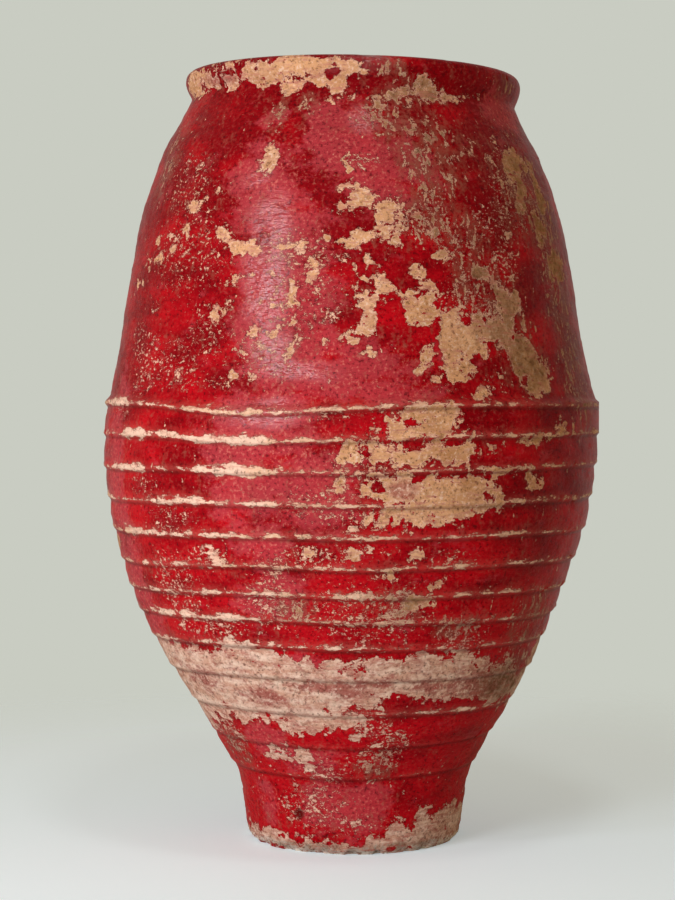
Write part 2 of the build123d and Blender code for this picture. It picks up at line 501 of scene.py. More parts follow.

# Places of wear, read from the jar: bearing and height of the middle, then half the width in
# degrees and half the height in millimetres. First, bare limewash on the shoulder and belly.
LIMEWASH: Places = (
    (-23.3, 864, 3.1, 19), (-24.6, 868, 2.4, 12), (-45.8, 815, 1.9, 8), (-42.5, 819, 1.3, 5),
    (-44.5, 826, 1.3, 3), (-34.2, 828, 1.2, 5), (-45.5, 788, 1.0, 7), (-0.6, 852, 1.5, 13),
    (-2.8, 831, 1.3, 3.5), (-2.5, 808, 4.2, 7), (3.5, 818, 3.4, 13), (7, 806, 4, 9),
    (8.7, 792, 3.4, 12), (13.5, 787, 2.2, 10), (16.3, 794, 1.4, 4), (-5.8, 770, 1.9, 9),
    (-2.6, 765, 1.5, 6), (0, 762, 1.7, 9), (4, 772, 4, 6), (8, 776, 3, 9), (10.4, 766, 1.1, 7),
    (14, 778, 2, 13), (12, 768, 2, 4), (3.6, 741, 1, 4), (4.4, 734, 1.7, 5), (6.4, 734, 1.3, 5),
    (-8.0, 738, 1.7, 9), (-8.8, 722, 1.8, 8), (-12.2, 758.5, 2, 2.2), (-16, 758, 1.5, 2.2),
    (-14, 772, 1, 3), (-17.6, 701, 2.6, 6), (-14, 706, 1.1, 9), (-18.6, 693, 1.8, 4),
    (-14.8, 694, 2.3, 4), (-15.8, 674, 3, 5), (-13.8, 668, 2.2, 4), (-15.2, 666, 1.8, 6),
    (-18, 655, 1, 5), (-12.9, 651, 1.4, 8), (-13.6, 627, 1.1, 6), (-22, 724, 1.8, 3),
    (-32, 773, 3, 10), (-29, 763, 4, 8), (-26.5, 758, 2.5, 4), (-29.5, 718, 1, 3),
    (-34, 677, 1.2, 7), (-32.6, 688, 1.6, 5), (-31, 694, 1.7, 5), (-28.5, 656, 1.8, 5.5),
    (-22.5, 660, 1.6, 8), (-26, 634, 1.2, 3.5), (-30.3, 588, 1.8, 5), (-27, 603, 1.5, 4),
    (-40.5, 769, 1.6, 5), (-52, 763, 1.2, 4), (-59.5, 772, 1.7, 9), (-62.3, 753, 2.3, 7),
    (-57.5, 750, 2.7, 9), (-62, 741, 1.4, 7), (-67.5, 722, 2.6, 7), (-46.5, 751, 0.8, 4),
    (4.6, 713, 2.8, 7), (7.6, 708, 2.6, 5), (10.5, 702, 4, 6), (15, 699, 5, 7), (4.6, 691, 3, 9),
    (4.2, 671, 2.6, 16), (17, 682, 4.8, 22), (17.4, 727, 1.9, 10), (18.6, 713, 1.8, 8),
    (-1.6, 649, 2.9, 7), (-5, 645, 1.9, 3), (4, 634, 1.3, 6), (16.5, 626, 2, 9),
    (19.6, 604, 2.4, 8), (15.3, 611, 0.6, 3), (25, 655, 4.6, 42), (28.5, 648, 5, 36),
    (24, 608, 3.4, 14), (33, 657, 5, 14), (38, 662, 5, 26), (44, 626, 5.2, 32), (47, 600, 5.6, 23),
    (41, 692, 4, 20), (50, 590, 2.6, 13), (33.8, 611, 1.9, 5), (30, 583, 4, 8), (23, 752, 2.2, 11),
    (34.5, 726, 3, 12), (50, 838, 4.2, 40), (54, 872, 5, 18), (47.5, 896, 1.4, 8),
    (62, 830, 3, 34), (65, 745, 5, 18), (58, 790, 3, 26),
    (16, 550, 10, 21), (18.5, 547, 5, 15), (13, 512, 10, 17), (22, 512, 10, 17),
    (8, 536, 3.6, 10), (0, 515, 3.6, 15), (-2, 476, 1.7, 14), (-3, 491, 2, 4), (10, 470, 8, 19),
    (23, 470, 11, 22), (14, 439, 10, 18), (23, 440, 7, 14), (12, 421, 3, 6), (32.5, 493, 4.2, 6),
    (29, 453, 6.5, 6), (26, 467, 4.2, 12), (44, 528, 5, 7), (55, 537, 4, 9), (45, 478, 2.3, 15),
    (30, 531, 2.4, 4), (1.5, 394, 1.4, 8), (17, 392, 2.6, 7), (15.5, 328, 2.8, 14),
    (9, 313, 1.6, 5), (1.6, 331, 1.7, 3.5), (3.8, 326, 0.8, 6), (19.5, 331, 1.6, 6),
    (-17.8, 384, 1.4, 4), (-8, 394, 1.4, 6), (22, 357, 1.6, 4), (9.6, 368, 1.4, 5),
)

# The band of bare plaster low on the belly, the patches under it and the bare foot.
PLASTER: Places = (
    (-70, 214, 14, 56), (-55, 218, 14, 52), (-40, 222, 12, 49), (-30, 224, 11, 50),
    (-36, 272, 4, 12), (-18, 213, 12, 50), (-6, 211, 10, 47), (3, 212, 6, 50),
    (-3, 175, 9, 11), (10, 236, 9, 28), (21, 237, 9, 30), (32, 236, 9, 31), (42, 228, 10, 27),
    (52, 223, 9, 28), (60, 212, 7, 20), (70, 205, 10, 15), (5, 176, 3, 10),
    (-29, 129, 5.5, 10), (-19, 131, 4, 10), (-17, 120, 2.6, 6),
    (-58, 12, 30, 14), (-37, 22, 4, 5), (-20, 8, 26, 9), (3, 7, 18, 8), (15, 12, 9, 12),
    (0, -5, 84, 17), (28, 17, 11, 15), (30, 41, 5, 6), (40, 24, 9, 24), (52, 24, 12, 24),
    (68, 26, 14, 28), (43, 56, 3, 5), (24, 35, 3, 5),
)

# Rim: the lip is bare from the groove over the top.
RIM: Places = (
    (-34, 979, 5, 9), (-27, 978, 8, 16), (-17, 980, 11, 24), (-8, 977, 8, 21), (-1, 978, 5, 14),
    (-20, 955, 3.5, 7), (-5, 955, 3, 5), (-69, 980, 8, 17), (-57, 981, 7.5, 17),
    (-46, 975, 6.6, 10), (-45.5, 990, 3.5, 6), (24, 951, 6, 4), (31, 948, 4, 3), (14, 942, 5, 4),
    (9, 934, 2, 6), (26, 962, 2, 4), (-12, 1008, 7, 7),
)

# Paint that held on within bare areas.
ISLANDS: Places = (
    (33, 612, 5, 14), (37, 606, 2.4, 10), (6.3, 470, 1.1, 4.5), (19.5, 421, 3.2, 6),
    (12, 522, 4.2, 3.2), (20, 529, 2, 2), (22, 490, 5, 4.5), (46, 790, 3, 80), (45, 850, 3, 40),
    (54, 682, 6.5, 44), (49, 655, 3, 20), (-40, 168, 5, 4.2), (-31, 164, 5, 8.5), (3, 196, 4, 4),
    (10, 186, 4.5, 18), (-48, 182, 2, 6), (12, 552, 1, 5), (-16, 968, 4, 4), (29, 37, 3, 5),
    (44, 46, 3.2, 6), (23, 690, 2.4, 9), (27, 672, 1.6, 6), (16, 667, 0.9, 4), (-5.5, 979, 1.8, 4),
    (6, 560, 3.4, 4), (2.6, 507, 1.7, 5), (-50, 989, 6, 4), (9, 690, 1.2, 9),
)

# Ground that shows pink, brown or hazy; chalked paint, partly painted sheen; grimed paint; crowds of
# small chips.
PINK: Places = (
    (11, 469, 4.6, 15), (0, 220, 7, 15), (25, 224, 6, 10), (-30, 210, 8, 14), (-55, 225, 10, 18),
    (-50, 979, 12, 14), (-25, 205, 6, 10), (8, 232, 6, 8), (-10, 226, 8, 8), (44, 222, 20, 30),
)
CHALKED_AND_SHEEN: Places = (
    (-16, 700, 15, 150), (-2, 612, 22, 44), (10, 860, 16, 70), (-24, 840, 12, 60),
    (-24, 505, 12, 95), (-12, 540, 10, 40), (-8, 470, 12, 60), (-20, 400, 10, 30),
    (-18, 340, 9, 40), (-27, 330, 6, 14), (-14, 240, 14, 30), (-35, 150, 14, 30), (-5, 900, 12, 60),
    (-24, 915, 6, 18), (-48, 60, 12, 34), (-15, 60, 14, 40), (5, 60, 20, 44), (-68, 400, 8, 300),
    (60, 940, 14, 40), (12, 585, 10, 14), (-15, 120, 16, 30),
)
GRIMED: Places = (
    (44, 628, 10, 60), (10, 920, 10, 40), (22, 850, 9, 90), (30, 760, 9, 70), (56, 830, 18, 90),
    (64, 720, 12, 110), (64, 222, 12, 40),
    (37, 692, 11, 50), (-66, 880, 8, 60), (-14, 935, 4, 24), (-23, 925, 4, 30), (-58, 130, 12, 34),
    (20, 950, 16, 22), (14, 978, 8, 20), (25, 885, 18, 52), (62, 972, 9, 20), (58, 224, 15, 36),
    (-20, 8, 40, 7), (30, 8, 30, 8), (12, 330, 10, 30), (-14, 325, 7, 20),
    (12, 115, 10, 24), (30, 300, 10, 22), (60, 300, 14, 60), (66, 600, 10, 90), (20, 790, 8, 40),
)
CHIPPED: Places = (
    (-47, 622, 14, 44), (-36, 660, 9, 36),
    (-57, 605, 7, 40), (-61, 650, 6, 30), (-40, 606, 7, 22), (-36, 592, 6, 9), (-56, 688, 3, 14),
    (-53, 652, 4, 14), (-64, 668, 4, 16), (-30, 742, 4, 10), (-23, 640, 4, 30), (-31, 595, 4, 10),
    (3, 862, 6, 18), (12, 800, 7, 36), (22, 800, 6, 60), (28, 740, 7, 60), (35, 790, 6, 30),
    (26, 690, 7, 26), (-5, 680, 4, 16), (-6, 455, 12, 30), (2, 430, 9, 24), (-45, 430, 12, 24),
    (-52, 470, 9, 20), (-48, 350, 12, 60), (-34, 385, 8, 20), (-12, 384, 12, 22),
    (5, 320, 18, 50), (-2, 395, 16, 16), (24, 385, 8, 16), (-40, 295, 16, 26), (-20, 335, 10, 50),
    (5, 180, 12, 22), (8, 125, 12, 24), (-10, 110, 16, 20), (-18, 60, 22, 50), (4, 35, 20, 24),
    (-30, 60, 10, 30), (-60, 150, 18, 34), (22, 592, 5, 12), (-50, 850, 16, 50), (-63, 560, 6, 20),
    (50, 840, 14, 80), (62, 740, 9, 70), (41, 770, 7, 70), (-45, 760, 18, 90), (-10, 720, 12, 80),
    (33, 690, 8, 18), (5, 500, 12, 60), (35, 590, 6, 14), (48, 830, 8, 60), (42, 740, 8, 30),
    (-20, 620, 14, 40), (-18, 760, 8, 30), (32, 285, 10, 30), (16, 150, 10, 30), (-8, 560, 14, 12),
)

# Worn crests: rib, bearing of the middle, half the width in degrees, and height of the bare line.
CRESTS: Places = (
    (12, -66, 8, 9), (12, -32, 9, 7), (12, -22, 8, 4), (12, 2, 14, 4), (12, 15, 5, 5),
    (11, -57, 6, 12), (11, -45, 7, 6), (11, -31, 10, 11), (11, -23, 7, 14), (11, -8, 10, 3),
    (11, 46, 12, 3), (10, -62, 8, 6), (10, -55, 4, 7), (10, -33, 4, 8), (10, -25, 8, 16),
    (10, -17, 5, 7), (10, -5, 10, 2), (10, 45, 12, 2), (9, -45, 14, 6), (9, -39, 6, 8),
    (9, -20, 12, 3), (9, 0, 8, 3), (9, 42, 12, 2), (8, -62, 8, 7), (8, -50, 9, 6), (8, -38, 8, 5),
    (8, -25, 6, 4), (8, -12, 12, 4), (8, 5, 8, 4), (8, 38, 10, 1.5), (7, -50, 16, 3), (7, -30, 6, 3),
    (7, 4, 12, 3), (7, 25, 5, 3), (6, -58, 9, 4), (6, -36, 5, 4), (6, -18, 4, 4), (6, 0, 6, 5),
    (6, 30, 8, 2), (5, -58, 7, 7), (5, -46, 5, 7), (5, -34, 5, 8), (4, -62, 8, 6), (4, -36, 6, 5),
    (4, -22, 6, 3), (4, -1, 7, 4), (2, 50, 14, 2),
)

# The pit low on the foot, sunk in and painted dark as shade: bearing, height, radius and depth.
PIT = (-29.0, 51.0, 9.0, 4.0)

# Where the paint has kept its gloss.
GLOSSY: Places = (
    (-20, 790, 8, 44), (-21, 730, 7, 40), (-20, 690, 7, 34), (-19, 640, 7, 30), (-20, 560, 14, 20),
    (3, 915, 5, 22), (4, 985, 14, 14), (-12, 610, 12, 16), (-25, 845, 5, 20),
)


@dataclass
class PaintMap:
    """Where the paint has gone or changed, and where shade and sheen are painted on it, over a grid
    of places on the outside.

    The grid has the bearing in degrees, the level, the radius and the point on the true round of
    each place, and how far the jar's shape moves it to the right and raises it.
    """

    bearing: np.ndarray
    level: np.ndarray
    radius: np.ndarray
    points: np.ndarray
    moved: np.ndarray
    raised: np.ndarray
    edge: float = 10.0
    squareness: float = 2.5
    crest_edge: float = 3.0
    outside: float = -4.0
    rib_spacing: float = 900.0
    hidden_from: float = 76.0
    bend_along: Noise = Noise(61, 34, 3, 1.3, 5.0)
    bend_up: Noise = Noise(71, 30, 3, 1.3, 4.0)
    crest_wander: Noise = Noise(81, 46, 3)
    hidden_crests: Noise = Noise(91, 150, 2, strength=4.0)
    crest_ragged: Noise = Noise(101, 13, 3, 1.6, 2.2)
    ragged: Noise = Noise(111, 26, 4, 1.5, 0.42)
    uneven: Noise = Noise(121, 90, 2, strength=0.15)
    pinkness: Noise = Noise(131, 60, 2, strength=0.25)
    hidden_chalk: Noise = Noise(141, 210, 3, 0.6)
    hidden_grime: Noise = Noise(151, 230, 3, 0.5)
    hidden_chips: Noise = Noise(161, 140, 3)

    def __post_init__(self) -> None:
        """Moves the grid with the jar's shape, and bends it, so that no patch has a plain outline."""
        along = self.bend_along.at(self.points) + self.moved * np.cos(np.radians(self.bearing))
        up = self.bend_up.at(self.points) + self.raised
        self.bent_bearing = self.bearing + np.degrees(along / self.radius)
        self.bent_level = self.level + up

    def hidden_places(self, seed: int, sizes: tuple[float, float], low: float, high: float,
                      count: int) -> Places:
        """Patches for the sides that the camera doesn't show, in groups of a few.

        Args:
            seed: Seed of the draws.
            sizes: Least and largest half width, in degrees.
            low: Lowest height of a middle.
            high: Highest height of a middle.
            count: How many groups there are.

        Returns:
            The patches.
        """
        random = np.random.default_rng(seed)
        found = []
        for _ in range(count):
            bearing = random.uniform(self.hidden_from, 360 - self.hidden_from)
            height = random.uniform(low, high)
            size = random.uniform(*sizes) ** 1.5 / sizes[1] ** 0.5
            for _ in range(random.integers(2, 6)):
                wide = size * random.uniform(0.5, 1.1)
                found.append((
                    bearing + size * random.normal() * 0.8, height + 4 * size * random.normal(),
                    wide, wide * random.uniform(2.2, 5.0),
                ))
        return tuple(found)

    def reach(self, places: Places) -> np.ndarray:
        """How far each point lies inside the nearest of some patches.

        Args:
            places: The patches.

        Returns:
            The distance in, in edges, negative outside.
        """
        best = np.full(self.bearing.shape, self.outside)
        for bearing, height, wide, tall in places:
            turn = turn_from(self.bent_bearing, bearing)
            rows = np.abs(self.level[:, 0] - height) < tall + 4 * self.edge
            across, up = np.abs(turn[rows] / wide), np.abs((self.bent_level[rows] - height) / tall)
            way = (across ** self.squareness + up ** self.squareness) ** (1 / self.squareness)
            least = np.minimum(np.radians(wide) * self.radius[rows], tall)
            best[rows] = np.maximum(best[rows], (1 - way) * least / self.edge)
        return best

    def haze(self, places: Places) -> np.ndarray:
        """How strongly each point is marked by some soft patches.

        Args:
            places: The patches.

        Returns:
            The strength, from 0 to 1.
        """
        rest = np.ones(self.bearing.shape)
        for bearing, height, wide, tall in places:
            turn = turn_from(self.bent_bearing, bearing)
            way = np.hypot(turn / wide, (self.bent_level - height) / tall)
            rest *= 1 - 0.85 * (1 - smooth(0.35, 1.25, way))
        return 1 - rest

    def crests(self, outline: Outline) -> np.ndarray:
        """How far each point lies within the worn line along its rib's crest.

        Args:
            outline: The jar's section.

        Returns:
            The distance in, in crest edges, negative outside.
        """
        heights = self.level[:, 0]
        from_tip = outline.from_tip(heights)
        rib = np.abs(heights[:, None] - outline.tips).argmin(1)
        # Each rib has its own noise, which doesn't change with height.
        ends = self.points * (1, 1, 0)
        ends[..., 2] = self.rib_spacing * rib[:, None]
        wander = self.crest_wander.at(ends)
        # The light side of the jar is the most worn, and the lowest ribs are the least.
        right = smooth(24, 48, self.bearing) * (1 - smooth(84, 100, self.bearing))
        faint = right + 0.8 * (self.bearing > -10) + 3.0 * (rib < 4)[:, None]
        width = -0.7 - 0.9 * faint + (2.6 - 0.6 * right) * wander
        behind = smooth(self.hidden_from - 8, self.hidden_from + 8, np.abs(self.bearing))
        width += behind * (0.6 + self.hidden_crests.at(ends))
        for at_rib, bearing, wide, tall in CRESTS:
            turn = turn_from(self.bearing, bearing)
            here = (rib == at_rib)[:, None]
            worn = 0.55 * tall * (1 - smooth(0.4, 1.2, np.abs(turn / wide))) + 0.7 * wander
            width = np.where(here, np.maximum(width, worn), width)
        away = np.where(from_tip > 0, from_tip * 0.9, -from_tip * 1.5)[:, None]
        inside = width - away + self.crest_ragged.at(self.points) * smooth(-1, 4, width)
        return np.clip(inside / self.crest_edge, self.outside, -self.outside)

    def marks(self, outline: Outline) -> dict[str, np.ndarray]:
        """Every mark that the finishes read.

        Args:
            outline: The jar's section.

        Returns:
            Arrays by name, one value for each point.
        """
        # The plaster, the bare foot and the bare rim go on round the back.
        behind = range(84, 280, 12)
        plaster = PLASTER + tuple(
            (bearing, 214 + 14 * math.sin(bearing), 13, 46 + 6 * math.cos(3 * bearing))
            for bearing in behind
        )
        plaster += tuple((bearing, 10, 13, 12 + 6 * math.sin(2 * bearing)) for bearing in behind)
        rim = RIM + tuple(
            (bearing, 986, 5 + 2 * math.sin(bearing), 14) for bearing in (96, 128, 171, 216, 262)
        )
        limewash = LIMEWASH + self.hidden_places(seed=5, sizes=(0.8, 6.0), low=300, high=950, count=46)
        islands = ISLANDS + self.hidden_places(seed=9, sizes=(0.8, 4.0), low=120, high=990, count=26)
        rough = self.ragged.at(self.points)
        spread = rough + self.uneven.at(self.points)
        bare = np.maximum(self.reach(limewash) - 0.17, self.reach(rim)) + spread
        pale = self.reach(plaster) + spread * 1.2
        held = self.reach(islands) + rough
        loss = np.minimum(np.maximum(bare, pale) + 0.02, 0.05 - held)
        pink = self.haze(PINK) + self.pinkness.at(self.points)
        hidden = smooth(self.hidden_from, self.hidden_from + 14, np.abs(self.bearing))
        # Chalking, and painted sheen where the window's reflection lies on the lit side.
        chalk = self.haze(CHALKED_AND_SHEEN) + hidden * smooth(-0.1, 0.7, self.hidden_chalk.at(self.points))
        grime = self.haze(GRIMED) + hidden * smooth(0.0, 0.8, self.hidden_grime.at(self.points))
        # Small chips crowd low on the belly, and less on the foot.
        low = smooth(460, 300, self.level) * smooth(20, 60, self.level)
        chips = self.haze(CHIPPED) + 0.24 * low
        chips += hidden * smooth(0.1, 0.8, self.hidden_chips.at(self.points))
        chips *= 1 - 0.16 * smooth(140, 90, self.level)
        # Painted shade: a dark line in the hollow under each rib's tip, and a dark patch in the pit.
        from_tip = outline.from_tip(self.level[:, 0])[:, None] + np.zeros_like(self.bearing)
        crease = np.exp(-((np.clip(from_tip, -30, 30) + 4.6) / 1.9) ** 2)
        bearing, height, size = PIT[:3]
        way = np.hypot(np.radians(self.bearing - bearing) * self.radius, self.level - height)
        crease = np.maximum(crease, 1.7 * smooth(1.2 * size, 0.3 * size, way))
        return {
            "loss": loss,
            "pale": smooth(-0.6, 0.6, pale - bare),
            "pink": np.clip(pink, 0, 1),
            "chalk": np.clip(chalk, 0, 1),
            "grime": np.clip(grime, 0, 1),
            "chips": np.clip(chips, 0, 1),
            "crest": self.crests(outline),
            "crease": crease * (self.level < outline.neck),
            "gloss": self.haze(GLOSSY),
        }


@dataclass
class Sheet:
    """A grid of places in rows round the jar, in metres, that shows one finish."""

    points: np.ndarray
    normals: np.ndarray
    finish: int
    marks: dict[str, np.ndarray] = field(default_factory=dict)

    def part(self, first: int, last: int, backwards: bool = False) -> "Sheet":
        """The rows from first to last, or from last to first."""
        rows = slice(first, last + 1)
        turn = slice(None, None, -1) if backwards else slice(None)
        marks = {name: mark[rows][turn] for name, mark in self.marks.items()}
        return Sheet(self.points[rows][turn], self.normals[rows][turn], self.finish, marks)


def normals_of(points: np.ndarray, outward: float = 1.0) -> np.ndarray:
    """Unit normals of a grid that closes on itself round the jar.

    Args:
        points: The grid.
        outward: 1 if the rows rise as seen from the side that shows, otherwise -1.

    Returns:
        The normal at each point.
    """
    along = np.roll(points, -1, axis=1) - np.roll(points, 1, axis=1)
    up = np.gradient(points, axis=0)
    normals = outward * np.cross(along, up)
    return normals / np.linalg.norm(normals, axis=-1, keepdims=True)


def ring_points(bearing: np.ndarray, height: np.ndarray, radius: np.ndarray) -> np.ndarray:
    """Places round the jar from their bearing in radians, height and radius."""
    flat = [radius * np.sin(bearing), -radius * np.cos(bearing), height + 0 * bearing]
    return np.stack(flat, axis=-1)


@dataclass
class JarSkin:
    """The whole outside and inside of the jar, as sheets that its pieces are cut from."""

    outline: Outline = field(default_factory=Outline)
    unevenness: Unevenness = field(default_factory=Unevenness)

    def __post_init__(self) -> None:
        """Shapes both sides."""
        self.bearing = np.linspace(-math.pi, math.pi, COLUMNS, endpoint=False)[None, :]
        self.top = self.outline.top_of("lip")
        self.outside, self.outer_heights = self.shape_outside()
        self.inside, self.inner_heights = self.shape_inside()

    def shape_outside(self) -> tuple[Sheet, np.ndarray]:
        """The outside, from the foot's edge over the lip and down the throat.

        Returns:
            The sheet, and the level of each of its rows.
        """
        shape, outline = self.unevenness, self.outline
        heights = outline.heights()
        lip_heights, lip_radii, lip_levels = outline.lip_rows()
        height = np.concatenate([heights, lip_heights[1:]])[:, None]
        radius = np.concatenate([outline.radius(heights), lip_radii[1:]])[:, None]
        level = np.concatenate([heights, lip_levels[1:]])[:, None]
        true_round = ring_points(self.bearing, height, radius)
        level = level + 0 * self.bearing
        raised = shape.rise(true_round, self.bearing, self.top)
        degrees = np.degrees(self.bearing)
        paint = PaintMap(
            degrees + 0 * level, level, radius + 0 * level, true_round, shape.sideways(height), raised
        )
        marks = paint.marks(outline)
        inner_side = smooth(*shape.throat_levels, level - outline.neck)
        on_lip = smooth(outline.neck, self.top, height)
        swell = shape.swell(true_round, self.bearing) * (1 - 0.4 * on_lip)
        swell -= shape.paint * smooth(-0.05, 0.15, np.maximum(marks["loss"], marks["crest"]))
        from_tip = outline.from_tip(level[:, 0])[:, None]
        crest = np.exp(-(from_tip / shape.crest_reach) ** 2) * (level < outline.neck)
        swell -= shape.crest_chip * smooth(0.25, 0.9, shape.chips.at(true_round)) * crest
        foot_edge = 1 - smooth(0, shape.foot_break_reach, level)
        swell -= shape.foot_break * smooth(0.0, 0.9, shape.foot_breaks.at(true_round)) * foot_edge
        rim = smooth(*shape.rim_levels, level)
        swell -= shape.rim_chip * smooth(0.35, 0.8, shape.rim_chips.at(true_round)) * rim
        bearing, pit_height, pit_radius, depth = PIT
        along = np.radians(degrees - bearing) * radius
        way = np.hypot(along, (height - pit_height) * 1.2)
        swell -= depth * (1 - smooth(0.2 * pit_radius, pit_radius, way))
        swell *= 1 - inner_side
        points = ring_points(self.bearing, height, radius + swell)
        limit = outline.reach_of("upper_belly")
        points[..., 2] = np.clip(points[..., 2] + raised, 0, self.top)
        points[..., 0] += shape.sideways(height)
        flat = np.linalg.norm(points[..., :2], axis=-1, keepdims=True)
        points[..., :2] *= np.minimum(1, limit / flat)
        return Sheet(points * MM, normals_of(points), 0, marks), level[:, 0]

    def shape_inside(self) -> tuple[Sheet, np.ndarray]:
        """The inside of the wall, from the floor up to the throat.

        Returns:
            The sheet, and the height of each of its rows.
        """
        outline, shape = self.outline, self.unevenness
        keys = outline.seams
        height = rows_between(keys, [outline.inner_step] * len(keys))[:, None]
        radius = outline.inner_radius(height[:, 0])[:, None]
        true_round = ring_points(self.bearing, height, radius)
        coils = shape.inner_coil * np.sin(height / shape.inner_coil_height * 2 * math.pi)
        rough = shape.scraping.at(true_round) + coils * (height > keys[1])
        rough *= 1 - smooth(outline.neck - 30, outline.neck, height)
        points = ring_points(self.bearing, height, radius + rough)
        outer = ring_points(self.bearing, height, outline.radius(height[:, 0])[:, None])
        points[..., 2] += shape.rise(outer, self.bearing, self.top)
        points[..., 0] += shape.sideways(height)
        points[-1] = self.outside.points[-1] / MM
        return Sheet(points * MM, normals_of(points, -1.0), 1), height[:, 0]

    def outer_part(self, low: float, high: float) -> Sheet:
        """The outside between two levels."""
        first, last = (int(np.abs(self.outer_heights - level).argmin()) for level in (low, high))
        return self.outside.part(first, last)

    def inner_part(self, low: float, high: float) -> Sheet:
        """The inside between two heights, from the upper one down."""
        first, last = (int(np.abs(self.inner_heights - height).argmin()) for height in (low, high))
        return self.inside.part(first, last, backwards=True)


